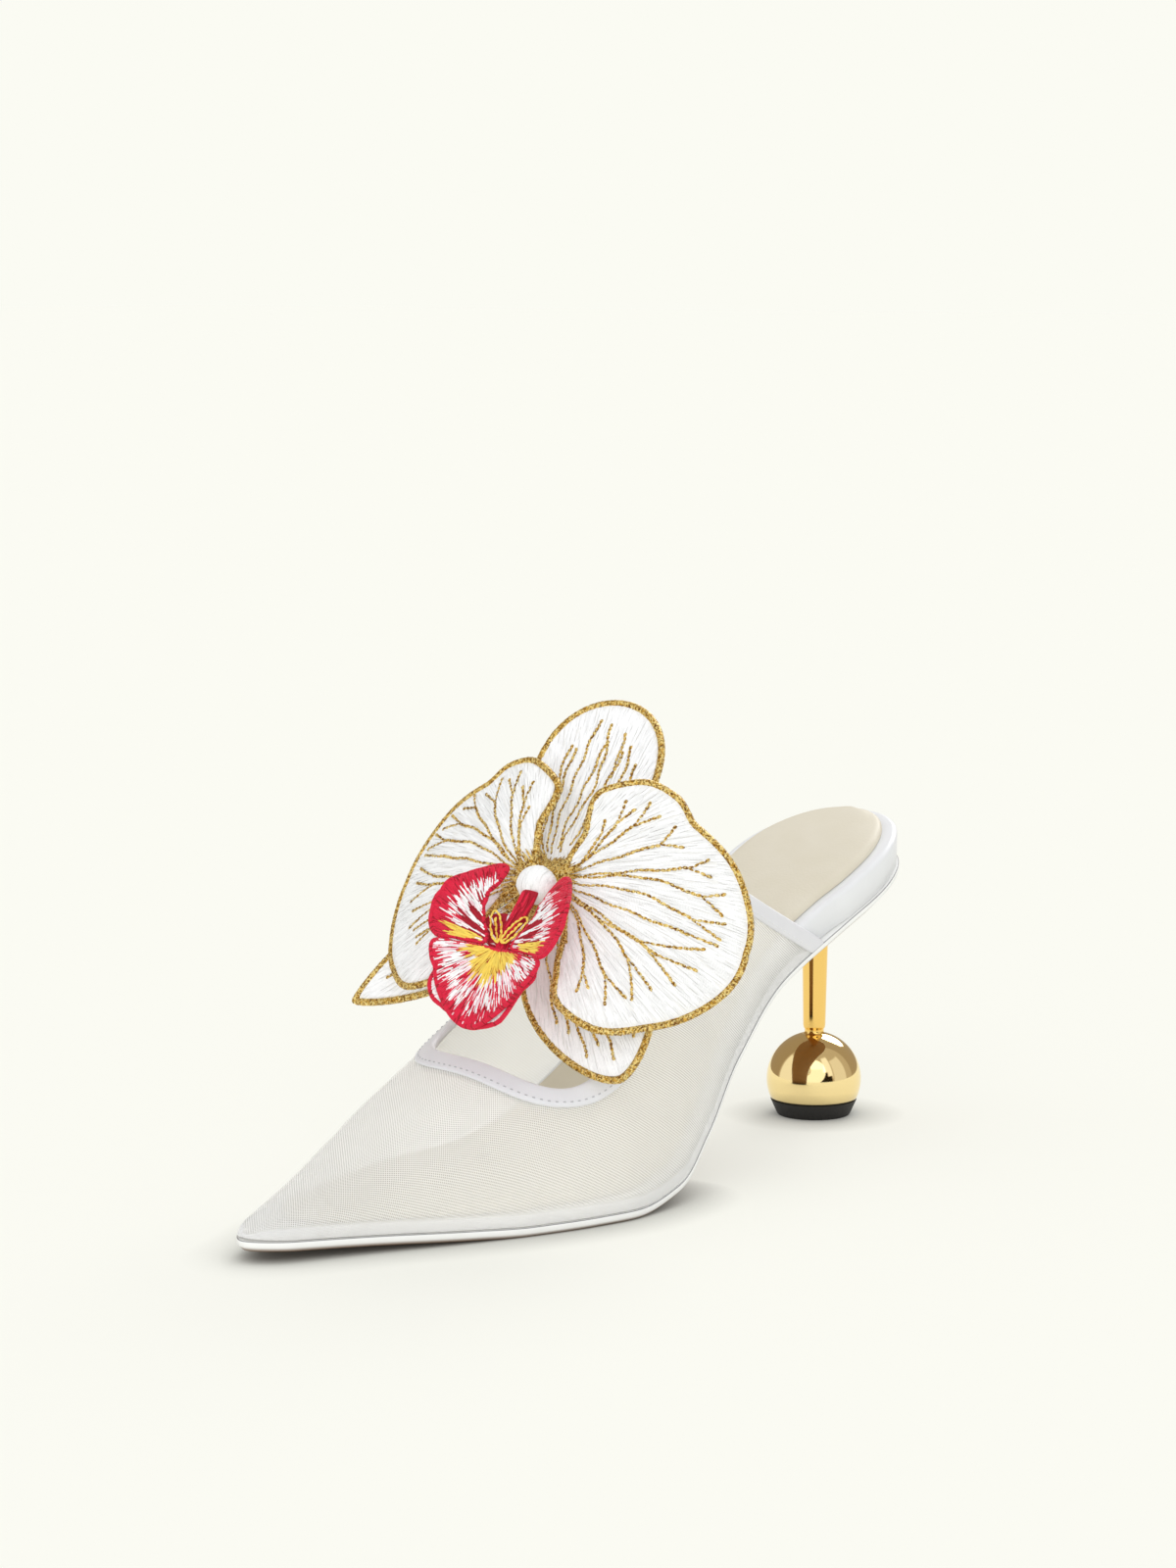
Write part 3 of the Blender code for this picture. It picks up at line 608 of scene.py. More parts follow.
RIDGE_ROWS = (
    (40, 108), (65, 104), (90, 95), (112, 79), (130, 64), (146, 51.5),
    (158, 43), (176, 33), (190, 26), (212, 16), (238, 7.5),
)
RIDGE = table_curves("height", RIDGE_ROWS)
NOSE_ROUND = 9.0
SECTION_POWER = 2.2
WALL = 0.9
NET_THICK = 0.4
UPPER_LIFT = 0.35
TIP_LIFT = 0.5
TOPLINE_OUTER = 50.0
TOPLINE_INNER = 52.0
TOPLINE_TOP = 109.0
THROAT_STATION = 150.5
THROAT_HALF_LENGTH = 17.0
THROAT_TURN = 0.45
THROAT_HALF_TURN = 0.215
THROAT_POWER = 2.5
PLAN_LENGTH = 60.0
PLAN_WIDTH = 18.0
SIDE_STEPS = 110
SIDE_CROWDING = 1.3
TOP_STEPS = 110
RING_STEPS = 52
RING_CROWDING = 1.6
STATION_STEP = 0.4
TURN_STEP = 0.002
RIDGE_STEPS = 400
ARC_STEPS = 24
MARGIN_WIDTH = 3.4
MARGIN_FADE = 1.4
LINING_COVER = 0.74


def upper_point(station, turn):
    """A point of the upper's outside."""
    station, turn = np.broadcast_arrays(np.asarray(station, float), np.asarray(turn, float))
    middle, half = plan(station)
    nose = end_round((LENGTH - station) / NOSE_ROUND, ROUND_POWER)
    base = feather(station) + UPPER_LIFT + TIP_LIFT * (1 - nose)
    height = (RIDGE["height"](station) - base) * nose
    across = eased(np.cos(np.pi * turn), 2 / SECTION_POWER)
    rise = np.abs(np.sin(np.pi * turn)) ** (2 / SECTION_POWER)
    return np.stack([middle + half * across, station, base + height * rise], axis=-1)


def upper_normal(station, turn):
    """Outward direction of the upper's outside."""
    turn = np.clip(turn, 2 * TURN_STEP, 1 - 2 * TURN_STEP)
    along = upper_point(station + STATION_STEP, turn) - upper_point(station - STATION_STEP, turn)
    around = upper_point(station, turn + TURN_STEP) - upper_point(station, turn - TURN_STEP)
    return unit(np.cross(along, around))


def topline_station(turn):
    """Where the rear edge of the upper crosses a line along the foot."""
    low = TOPLINE_OUTER + (TOPLINE_INNER - TOPLINE_OUTER) * turn
    return low + (TOPLINE_TOP - low) * np.sin(np.pi * turn) ** (2 / SECTION_POWER)


def unrolled(station, turn):
    """A place on the upper as a point of its flattened plan."""
    return np.stack([station, (2 * turn - 1) * plan(station)[1]], axis=-1)


def rolled(flat):
    """The station and turn of a point of the flattened plan."""
    station, across = flat[..., 0], flat[..., 1]
    half = np.maximum(plan(station)[1], 1e-6)
    return station, np.clip(0.5 + across / (2 * half), 0.0, 1.0)


def upper_edges():
    """The cut-out's edge in the flattened plan, and the upper's edge around the toe and the topline."""
    share = np.arange(SIDE_STEPS) / SIDE_STEPS
    outer = LENGTH - (LENGTH - TOPLINE_OUTER) * (1 - share) ** SIDE_CROWDING
    inner = LENGTH - (LENGTH - TOPLINE_INNER) * share[1:] ** SIDE_CROWDING
    top = 1 - np.arange(TOP_STEPS) / TOP_STEPS
    station = np.concatenate([outer, [LENGTH], inner, topline_station(top)])
    edge = unrolled(station, np.concatenate([0 * outer, [0.5], 0 * inner + 1, top]))
    facing = ray(np.arctan2(edge[:, 1] / PLAN_WIDTH, (edge[:, 0] - THROAT_STATION) / PLAN_LENGTH))
    along, across = eased(facing, 2 / THROAT_POWER).T
    station = THROAT_STATION + THROAT_HALF_LENGTH * along
    return unrolled(station, THROAT_TURN + THROAT_HALF_TURN * across), edge


def weave_place(station, turn):
    """Millimetres along and around the upper, so that the net keeps its pitch."""
    fine = np.linspace(RIDGE_ROWS[0][0], LENGTH, RIDGE_STEPS)
    share = np.linspace(0, 1, ARC_STEPS)
    points = upper_point(station[..., None] + 0 * share, 0.5 + (turn[..., None] - 0.5) * share)
    arc = np.linalg.norm(np.diff(points, axis=-2), axis=-1).sum(axis=-1)
    along = np.interp(station, fine, run_along(upper_point(fine, 0.5)))
    return np.stack([along, np.sign(turn - 0.5) * arc], axis=-1)


def upper_piece():
    """The net, with a lining that half closes its inside and a margin that closes its lower edge."""
    inner, outer = upper_edges()
    share = 1 - (1 - np.linspace(0, 1, RING_STEPS + 1)[:, None]) ** RING_CROWDING
    station, turn = rolled(inner[:, None] + (outer - inner)[:, None] * share)
    outside = upper_point(station, turn)
    inside = outside - upper_normal(station, turn) * NET_THICK
    uv = weave_place(station, turn)
    from_edge = np.abs(weave_place(station, np.round(turn))[..., 1]) - np.abs(uv[..., 1])
    margin = np.clip((MARGIN_WIDTH - from_edge) / MARGIN_FADE + 0.5, 0, 1)
    closed = there_and_back(margin, np.maximum(margin, LINING_COVER))
    tone = np.repeat(closed[..., None], 3, axis=-1)
    net = skin(there_and_back(outside, inside), True, tone, there_and_back(uv, uv))
    piece("mesh_upper", net, "mesh", "white_mesh", "upper")


# Threads, and the tapes over the edges of the upper.

STITCH_STEPS = 5
THREAD_END = 0.12
THREAD_ROUND = 0.6


def threads(paths, ups, size, tones, sides=4, taper=0.2):
    """Closed threads along paths, flattened to a width and height and narrowed at both ends."""
    width, height = size
    number, count, _ = paths.shape
    along = unit(np.gradient(paths, axis=1))
    across = unit(np.cross(ups, along))
    up = np.cross(along, across)
    share = np.linspace(0, 1, count)
    full = np.clip(np.minimum(share, 1 - share) / taper, THREAD_END, 1)[:, None, None] ** THREAD_ROUND
    turn = 2 * np.pi * (np.arange(sides)[:, None] + 0.5) / sides
    half = np.broadcast_to(width, number)[:, None, None, None] / 2
    flat = across[:, :, None] * (half * full * np.cos(turn))
    points = paths[:, :, None] + flat + up[:, :, None] * (height / 2 * full * np.sin(turn))
    head = np.arange(number)[:, None] * count * sides + np.arange(sides)
    faces = (grid_faces(count, sides) + head[:, :1, None]).reshape(-1, 4).tolist()
    faces += head.tolist() + (head[:, ::-1] + (count - 1) * sides).tolist()
    run = np.linalg.norm(np.diff(paths, axis=1), axis=-1).cumsum(axis=1)
    run = np.pad(run, ((0, 0), (1, 0)))[..., None]
    uv = np.stack(np.broadcast_arrays(run, np.arange(sides) / sides), axis=-1)
    tones = np.broadcast_to(tones, (number, 3))[:, None, None]
    return mesh_of(points, faces, np.broadcast_to(tones, points.shape), uv)


BINDING_WIDTH = 5.0
BINDING_THICK = 0.6
TAPE_SAMPLES = 60
TAPE_SHARE = 0.4
TAPE_LIFT = 0.04
# The outer leg of a tape: distances from the upper's edge, and heights over the upper.
LEG_DISTANCES = np.array([BINDING_WIDTH, 4.94, 4.7, 3.4, 2.0, 0.8, 0.0])
LEG_HEIGHTS = np.array([0.1, 0.4, 0.6, 0.64, 0.64, 0.62, BINDING_THICK])
FOLD_DEGREES = np.array([65, 35, 0, -35, -65])
INNER_ROWS = 4
TOPLINE_REACH = 50.0
TOPLINE_INNER_WIDTH = 1.2
TOPLINE_PATHS = 121
SEAM_DISTANCE = 3.6
SEAM_START = 0.5
SEAM_LIFT = 0.06
SEAM_SINK = np.array([-0.22, 0.0, 0.05, 0.0, -0.22])
STITCH_PITCH = 1.9
STITCH_LENGTH = 1.05
TAPE_STITCH = (0.34, 0.26)


def tape_runs(paths, distances):
    """Points of the upper and its outward directions at distances from the start of each path."""
    share = np.linspace(0, TAPE_SHARE, TAPE_SAMPLES)
    found = [path(np.interp(distances, run_along(upper_point(*path(share))), share)) for path in paths]
    station, turn = np.array(found).swapaxes(0, 1)
    return upper_point(station, turn), upper_normal(station, turn)


def folded_tape(paths, ring, inner_width):
    """A tape folded over an edge: a leg outside, a round fold and a leg inside."""
    point, normal = tape_runs(paths, LEG_DISTANCES)
    edge, edge_normal = point[:, -1:], normal[:, -1:]
    along = np.roll(edge, -1, axis=0) - np.roll(edge, 1, axis=0) if ring else np.gradient(edge, axis=0)
    into = unit(np.cross(edge_normal, along))
    into = into * np.sign(np.sum(into * (point[:, -2:-1] - edge), axis=-1, keepdims=True))
    fold = np.radians(FOLD_DEGREES)[:, None]
    radius = WALL / 2 + BINDING_THICK
    inside, inner_normal = tape_runs(paths, np.linspace(0.0, inner_width, INNER_ROWS))
    legs = (
        point + normal * LEG_HEIGHTS[:, None],
        edge - into * radius * np.cos(fold) + edge_normal * (radius * np.sin(fold) - WALL / 2),
        inside - inner_normal * (WALL + BINDING_THICK),
        (inside - inner_normal * (WALL + TAPE_LIFT))[:, ::-1],
        (point + normal * TAPE_LIFT)[:, ::-1],
    )
    grid = np.concatenate(legs, axis=1)
    length = run_along(edge[:, 0])
    uv = np.stack(np.broadcast_arrays(length[:, None], np.arange(grid.shape[1])), axis=-1)
    return skin(grid, ring, uv=uv)


def tape_stitches(paths, ring, tone):
    """A row of sewing stitches on the tape, near its free edge."""
    point, normal = tape_runs(paths, [SEAM_DISTANCE])
    both = np.concatenate([point + normal * (BINDING_THICK + SEAM_LIFT), normal], axis=-1)[:, 0]
    if ring:
        both = np.concatenate([both, both[:1]])
    run = run_along(both[:, :3])
    starts = np.arange(SEAM_START, run[-1] - STITCH_LENGTH, STITCH_PITCH)
    at = starts[:, None] + np.linspace(0, STITCH_LENGTH, STITCH_STEPS)
    found = np.stack([np.interp(at, run, values) for values in both.T], axis=-1)
    ups = found[..., 3:]
    paths = found[..., :3] + ups * SEAM_SINK[:, None]
    return threads(paths, ups, TAPE_STITCH, tone, sides=6)


def binding_pieces():
    def from_throat(start, end):
        return lambda share: rolled(start + (end - start) * share[..., None])

    def from_topline(turn):
        return lambda share: (topline_station(turn) + share * TOPLINE_REACH, turn + 0 * share)

    throat = [from_throat(start, end) for start, end in zip(*upper_edges())]
    topline = [from_topline(turn) for turn in np.linspace(0, 1, TOPLINE_PATHS)]
    rows = (
        # The throat's stitches are grey: painted shade of their sunk holes. The topline's are the thread's
        # own white.
        ("throat", throat, True, BINDING_WIDTH, srgb(186, 186, 188)),
        ("topline", topline, False, TOPLINE_INNER_WIDTH, srgb(236, 236, 236)),
    )
    for name, paths, ring, inner_width, stitch_tone_and_shade in rows:
        tape = folded_tape(paths, ring, inner_width)
        piece(name + "_tape", tape, "tape", "white_tape", name + "_binding")
        piece(name + "_stitches", tape_stitches(paths, ring, stitch_tone_and_shade), "thread", "white_tape")


# Heel.

HEEL_STATION = 21.2
BALL_RADIUS = 12.75
BALL_CENTRE_HEIGHT = 9.7
TREAD_HEIGHT = 4.6
TREAD_RADIUS = 9.5
TREAD_GAP = 0.25
# The tread's lower edge and the groove in its underside: how much wider than the tread, and height.
TREAD_EDGE = ((0.5, 0.5), (0.2, 0.1), (-0.2, 0.0), (-2.5, 0.0), (-2.8, 0.25), (-3.1, 0.0))
PIN_FOOT_RADIUS = 3.0
PIN_TOP_RADIUS = 3.7
NECK_RADIUS = 2.6
NECK_HEIGHT = 1.6
BALL_TUCK = 0.1
BALL_STEPS = 48
PIN_STEPS = 12
PIN_COLLAR = 4.0
PIN_SINK = 0.1
JOINT_GAP = 0.02
AXIS_RADIUS = 0.01
LATHE_SIDES = 96


def lathe(profile, top=None):
    """A turned piece on the heel's axis, from radius and height, top to bottom."""
    radius, height = np.array(profile, float).T[..., None]
    around = radius[..., None] * ray(full_turn(LATHE_SIDES))
    station = HEEL_STATION + around[..., 1]
    level = height + 0 * station
    if top is not None:
        level[:2] = top(station[:2])
    grid = np.stack([around[..., 0], station, level], axis=-1)
    return mesh_of(grid, grid_faces(*grid.shape[:2]).tolist())


def heel_pieces():
    seam = BALL_CENTRE_HEIGHT - TREAD_HEIGHT
    seam_radius = math.sqrt(BALL_RADIUS**2 - seam**2)
    rise = math.sqrt(BALL_RADIUS**2 - PIN_FOOT_RADIUS**2)
    ball_top = BALL_CENTRE_HEIGHT + rise
    ball = [(AXIS_RADIUS, ball_top)]
    for angle in np.linspace(math.asin(rise / BALL_RADIUS), -math.asin(seam / BALL_RADIUS), BALL_STEPS):
        ball.append((BALL_RADIUS * math.cos(angle), BALL_CENTRE_HEIGHT + BALL_RADIUS * math.sin(angle)))
    under = TREAD_HEIGHT - BALL_TUCK
    ball += [(seam_radius - 0.3, under), (AXIS_RADIUS, under)]
    piece("gold_ball", lathe(ball), "gold", "gold_metal", "heel_ball")

    top = TREAD_HEIGHT - TREAD_GAP
    tread = [(AXIS_RADIUS, top), (seam_radius - 0.5, top), (seam_radius - 0.1, top - 0.3)]
    tread += [(TREAD_RADIUS + wider, height) for wider, height in TREAD_EDGE]
    tread.append((AXIS_RADIUS, 0.0))
    piece("rubber_tread", lathe(tread), "rubber", "black_rubber", "heel_top_piece")

    foot = ball_top + JOINT_GAP
    seat = float(feather(HEEL_STATION)) - OUTSOLE_THICK
    neck = foot + NECK_HEIGHT
    pin = [(AXIS_RADIUS, seat), (PIN_TOP_RADIUS, seat)]
    for share in np.linspace(0.92, 0.02, PIN_STEPS):
        radius = PIN_FOOT_RADIUS + (PIN_TOP_RADIUS - PIN_FOOT_RADIUS) * share
        pin.append((radius, neck + (seat - PIN_COLLAR - foot) * share))
    pin += [(PIN_FOOT_RADIUS - 0.1, neck), (NECK_RADIUS, foot + 0.75 * NECK_HEIGHT)]
    pin += [(NECK_RADIUS, foot + 0.2 * NECK_HEIGHT), (NECK_RADIUS + 0.3, foot), (AXIS_RADIUS, foot)]
    stem = lathe(pin, top=lambda station: feather(station) - OUTSOLE_THICK - PIN_SINK)
    piece("gold_pin", stem, "pin_gold_painted_shade", "gold_metal", "heel_pin")


# Flower: right is toward the outer side, up toward the instep, front away from it.

FLOWER_CENTRE = np.array([8.0, 141.6, 79.7])
FLOWER_AZIMUTH = 12.0
FLOWER_ELEVATION = 34.0
FLOWER_ROLL = 7.0
PETAL_MIDDLE = (27.0, -3.0)
PETAL_FRONT = 3.0
PETAL_CURL = 0.0105
PETAL_CURL_START = 5.0
PETAL_RIPPLE = 0.55
RIPPLES = 3
RIPPLE_PHASE = 0.8
RIPPLE_AREA = 500.0
RIPPLE_MOST = 1.4
# Outlines of lobes: directions around the lobe's middle in degrees, and distances.
PETAL_ROWS = (
    (0, 21.6), (30, 21.8), (60, 23.3), (84, 25.0), (96, 30.0), (112, 33.0),
    (128, 33.0), (146, 24.5), (170, 22.5), (195, 18.6), (216, 19.4), (238, 25.5),
    (252, 31.0), (268, 32.0), (290, 28.0), (322, 23.8), (360, 21.6),
)
SEPAL_COLUMNS = ("name", "direction", "start", "reach", "half_width", "egg", "point", "front", "sweep")
SEPAL_ROWS = (
    ("dorsal_sepal", -5.0, 4.0, 51.0, 16.2, 0.18, 1.0, -3.0, 0.06),
    ("sepal_right", 142.4, 6.0, 53.6, 16.2, -0.20, 1.25, -3.5, 0.14),
    ("sepal_left", -125.5, 6.0, 62.0, 10.0, -0.25, 1.6, -3.5, 0.24),
)
LIP_BACK = 9.5
LIP_RISE = 6.0
LIP_RISE_WIDTH = 17.0
LIP_RISE_POWER = 1.3
LIP_TOP = -12.0
LIP_TOP_SLOPE = 0.49
SLOPE_STEP = 0.2
SHEET_RINGS = 12
SHEET_CENTRE = 0.02
SHEET_THICK = 0.7


def flower_axes():
    """Right, up and front of the flower, as shoe directions."""
    azimuth, elevation, roll = np.radians([FLOWER_AZIMUTH, FLOWER_ELEVATION, FLOWER_ROLL])
    level = np.array([math.cos(azimuth), -math.sin(azimuth), 0.0])
    facing = np.array([math.sin(azimuth), math.cos(azimuth), 0.0])
    upright = np.array([0.0, 0.0, 1.0])
    front = facing * math.cos(elevation) + upright * math.sin(elevation)
    rise = upright * math.cos(elevation) - facing * math.sin(elevation)
    right = level * math.cos(roll) - rise * math.sin(roll)
    return right, rise * math.cos(roll) + level * math.sin(roll), front


AXES = flower_axes()


def flower_point(right, up, front):
    """Points of the flower's frame, in the shoe's."""
    parts = np.broadcast_arrays(right, up, front)
    return FLOWER_CENTRE + sum(part[..., None] * axis for part, axis in zip(parts, AXES))


def surface_point(surface, flat, lift=0.0):
    """Points over a sheet of the flower, lifted square to it, and the directions of that lift."""
    right, up = flat[..., 0], flat[..., 1]
    step = SLOPE_STEP
    slope_right = (surface(right + step, up) - surface(right - step, up)) / (2 * step)
    slope_up = (surface(right, up + step) - surface(right, up - step)) / (2 * step)
    normal = unit(AXES[2] - slope_right[..., None] * AXES[0] - slope_up[..., None] * AXES[1])
    return flower_point(right, up, surface(right, up)) + normal * np.asarray(lift)[..., None], normal


def petal_surface(right, up):
    """Petals stand in front, curl back toward their outer ends and ripple a little."""
    reach = np.maximum(np.abs(right) - PETAL_CURL_START, 0.0)
    away_right = np.abs(right) - PETAL_MIDDLE[0]
    away_up = up - PETAL_MIDDLE[1]
    ripple = np.sin(RIPPLES * np.arctan2(away_up, away_right) + RIPPLE_PHASE)
    ripple = ripple * PETAL_RIPPLE * np.minimum((away_right**2 + away_up**2) / RIPPLE_AREA, RIPPLE_MOST)
    return PETAL_FRONT - PETAL_CURL * reach**2 + ripple


def lip_surface(right, up):
    """The lip's sides rise to the front, and its top leans back beside the column."""
    rise = LIP_RISE * (np.abs(right) / LIP_RISE_WIDTH) ** LIP_RISE_POWER
    return LIP_BACK + rise - LIP_TOP_SLOPE * np.maximum(up - LIP_TOP, 0.0)


def lobe_outline(rows, middle, side=1):
    """A closed outline as a function of an angle, around the lobe's middle."""
    reach = smooth_through(*zip(*rows))

    def at(angle, share=1.0, inset=0.0):
        degrees = np.degrees(angle) % 360
        slope = (reach((degrees + 1) % 360) - reach((degrees - 1) % 360)) / math.radians(2)
        slant = np.hypot(1.0, slope / reach(degrees))
        distance = (reach(degrees) - inset * slant) * share
        return (np.array(middle) + distance[..., None] * ray(angle)) * (side, 1)

    return at


def sepal_outline(row):
    """A leaf with its widest place set by egg and its tip sharpened by point."""
    middle = (row["start"] + row["reach"]) / 2
    half_length = (row["reach"] - row["start"]) / 2
    turn = math.radians(row["direction"])

    def at(angle, share=1.0, inset=0.0):
        bulge = 1 + row["egg"] * np.cos(angle)
        along = middle + (half_length - inset * row["point"] ** 2) * share * np.cos(angle)
        across = (row["half_width"] - inset) * share * eased(np.sin(angle), row["point"]) * bulge
        right = along * math.sin(turn) + across * math.cos(turn)
        return np.stack([right, along * math.cos(turn) - across * math.sin(turn)], axis=-1)

    return at


def sheet_base(outline, surface, inset, tone):
    """The backing of a stitched sheet: a thin closed plate along its surface."""
    shares = np.linspace(SHEET_CENTRE, 1, SHEET_RINGS)
    flat = np.stack([outline(full_turn(), share, inset) for share in shares])
    front, back = (surface_point(surface, flat, lift)[0] for lift in (SHEET_THICK / 2, -SHEET_THICK / 2))
    return skin(np.concatenate([front, back[::-1]]), tone=tone)


# Stitches, in rows that radiate from a base point, and cords.


def inside(points, polygon):
    """Which points lie inside a closed outline."""
    x, y = points[..., 0], points[..., 1]
    hit = np.zeros(x.shape, bool)
    for (x0, y0), (x1, y1) in zip(polygon, np.roll(polygon, -1, axis=0)):
        crosses = (y0 > y) != (y1 > y)
        with np.errstate(divide="ignore", invalid="ignore"):
            where = (x1 - x0) * (y - y0) / (y1 - y0) + x0
        hit ^= crosses & (x < where)
    return hit


STITCH_PROBES = 24
FEWEST_PROBES = 6
ROW_STEP = 0.6
ROW_RAGGED = 0.9
NEAREST_START = 0.3


def stitch_rows(polygon, base, length, spacing):
    """Starts and ends of long and short stitches that radiate from a base point."""
    away = polygon - base
    distance = np.linalg.norm(away, axis=1)
    heading = np.arctan2(*np.mean(unit(away), axis=0)[::-1])
    turn = (np.arctan2(away[:, 1], away[:, 0]) - heading + np.pi) % (2 * np.pi) - np.pi
    outside_base = turn.max() - turn.min() < 1.9 * np.pi
    low, high = (turn.min(), turn.max()) if outside_base else (-np.pi, np.pi)
    radius = distance.min() - length / 2 if outside_base else 0.0
    probe = np.linspace(0, 1, STITCH_PROBES)
    starts, ends = [], []
    while radius < distance.max():
        count = max(int((high - low) * (radius + length / 2) / spacing), 4)
        angle = heading + low + (high - low) * (np.arange(count) + rng.random(count)) / count
        first = np.maximum(radius + length * (rng.random(count) - 0.5) * ROW_RAGGED, NEAREST_START)
        last = first + length * (0.75 + 0.5 * rng.random(count))
        reach = first[:, None] + (last - first)[:, None] * probe
        points = base + ray(angle)[:, None] * reach[..., None]
        kept = inside(points, polygon)
        some = np.flatnonzero(kept.sum(axis=1) > FEWEST_PROBES)
        starts.append(points[some, kept.argmax(axis=1)[some]])
        ends.append(points[some, STITCH_PROBES - 1 - kept[:, ::-1].argmax(axis=1)[some]])
        radius += length * ROW_STEP
    return np.concatenate(starts), np.concatenate(ends)


STITCH_TUCK = np.array([-0.5, 0.1, 0.2, 0.1, -0.5])
STITCH_UNEVEN = 0.12


def satin(surface, starts, ends, lift, size, tones):
    """Stitches laid over a sheet, each with its ends tucked in."""
    share = np.linspace(0, 1, STITCH_STEPS)[:, None]
    flat = starts[:, None] + (ends - starts)[:, None] * share
    face = np.sign(lift)
    level = lift + face * (STITCH_TUCK * size[1] + STITCH_UNEVEN * rng.random((len(starts), 1)))
    paths, ups = surface_point(surface, flat, level)
    return threads(paths, ups * face, size, tones)


def varied(colour, amount, number):
    """The colour, a little lighter or darker for each stitch."""
    return np.clip(np.array(colour) * (1 + amount * (rng.random((number, 1)) - 0.6)), 0, 1)


def picked(choices, weights, number):
    """One of several colours for each stitch."""
    return np.array(choices)[rng.choice(len(choices), number, p=np.array(weights) / sum(weights))]


def foil_tones(number):
    return picked((BRIGHT_GOLD, GOLD, DARK_GOLD), (0.34, 0.46, 0.20), number)


def vein_tones(number):
    return picked((BRIGHT_GOLD, GOLD, DARK_GOLD), (0.15, 0.40, 0.45), number)


def rim_tones(number):
    return picked((CRIMSON, DARK_RED), (0.85, 0.15), number)


def yellow_tones(number):
    return picked((YELLOW, AMBER), (0.8, 0.2), number)


EDGE_STEPS = 720
CORE_SIDES = 9
# The cord's core shows only between the wraps and is painted darker: painted shade.
CORE_PAINTED_SHADE = 0.6
WRAP_STEPS = 8


def wrapped_edge(outline, surface, radius, tones_of, spacing, inset):
    """A thread wrapped round and round the edge of a sheet, over a core."""
    line = outline(full_turn(EDGE_STEPS), 1.0, inset)
    line = resampled(np.concatenate([line, line[:1]]), spacing)[:-1]
    number = len(line)
    tones = tones_of(number)
    middle, up = surface_point(surface, line)
    along = unit(np.roll(middle, -1, axis=0) - np.roll(middle, 1, axis=0))
    out = unit(np.cross(along, up))

    def around(spin):
        return np.cos(spin)[..., None] * out[:, None] + np.sin(spin)[..., None] * up[:, None]

    core = middle[:, None] + around(full_turn(CORE_SIDES)[None]) * radius * 0.9
    # The core takes the wraps' tones, darkened as painted shade between them.
    core = skin(core, True, np.repeat(tones * CORE_PAINTED_SHADE, CORE_SIDES, axis=0))
    spin = np.radians(np.linspace(-60, 240, WRAP_STEPS)) + 0.25 * (rng.random((number, 1)) - 0.5)
    slant = np.linspace(-0.5, 0.5, WRAP_STEPS)[:, None] + 0.2 * (rng.random((number, 1, 1)) - 0.5)
    swell = radius * (0.97 + 0.1 * rng.random((number, 1, 1)))
    paths = middle[:, None] + around(spin) * swell + along[:, None] * slant * spacing * 2
    wraps = threads(paths, around(spin), (spacing * 1.35, spacing * 0.8), tones, taper=0.1)
    return joined([core, wraps])


CHAIN_LENGTH = 1.45
CHAIN_SINK = np.array([-0.18, 0.0, 0.08, 0.0, -0.18])
CHAIN_SLANT = 0.28
CHAIN_WIDTH = 0.82
CHAIN_HEIGHT = 0.42


def chain(surface, line, lift, tones_of, width=CHAIN_WIDTH):
    """A line of short twisted stitches over a sheet."""
    marks = resampled(line, CHAIN_LENGTH * 0.8)
    heading = unit(np.diff(marks, axis=0))
    square = np.stack([-heading[:, 1], heading[:, 0]], axis=-1)
    slant = CHAIN_SLANT * np.where(np.arange(len(heading)) % 2, 1, -1)[:, None]
    share = np.linspace(-0.5, 0.5, STITCH_STEPS)[:, None]
    run = heading * CHAIN_LENGTH + square * slant
    flat = ((marks[1:] + marks[:-1]) / 2)[:, None] + run[:, None] * share
    paths, ups = surface_point(surface, flat, lift + CHAIN_SINK)
    wide = width * np.linspace(0.7, 1.1, len(paths))
    return threads(paths, ups, (wide, CHAIN_HEIGHT), tones_of(len(paths)), sides=6, taper=0.3)


# Petals and sepals.

SWAY_LENGTH = 10.0
PETAL_SWAY = 0.2
SEPAL_SWAY = 0.32
PETAL_BASE = np.array([1.5, -2.0])
VEIN_START = 5.5
# Petal veins: directions at the start, half way and at the fork, the fork's distance,
# the directions of the fork's two tips, and their distance.
PETAL_VEINS = {
    "petal_right": (
        (27, 46, 55, 16, 64, 64, 20), (32, 47, 56, 21, 64, 57, 27),
        (35, 44, 49, 24, 56, 48, 31), (28, 32, 35, 28, 42, 32, 33),
        (16, 20, 23, 33, 27, 20, 38), (13, 17, 12, 36, 15, 7, 41), (2, 7, 2, 35, 5, -1, 42),
        (-9, -7, -4, 36, -3, -3, 42), (-22, -22, -18, 28, -6, -23, 40),
        (-23, -23, -28, 29, -30, -38, 38), (-18, -19, -18, 33, -14, -14, 41),
        (-28, -36, -41, 30, -39, -47, 37), (-29, -39, -49, 27, -50, -55, 32),
        (-40, -46, -51, 14, -53, -53, 19),
    ),
    "petal_left": (
        (24, 40, 51, 16, 62, 62, 20), (22, 45, 57, 21, 65, 58, 27),
        (23, 41, 51, 26, 58, 51, 32), (18, 31, 40, 28, 48, 38, 34),
        (15, 26, 31, 33, 34, 27, 38), (13, 24, 22, 34, 23, 17, 41), (8, 16, 13, 36, 15, 9, 43),
        (3, 5, 6, 35, 7, 7, 43), (-6, -8, -3, 34, 2, 2, 42), (-9, -10, -8, 33, -4, -12, 41),
        (-15, -18, -18, 30, -17, -17, 39), (-18, -21, -22, 31, -25, -25, 39),
        (-25, -28, -28, 30, -28, -28, 37), (-30, -33, -34, 29, -37, -33, 36),
    ),
}
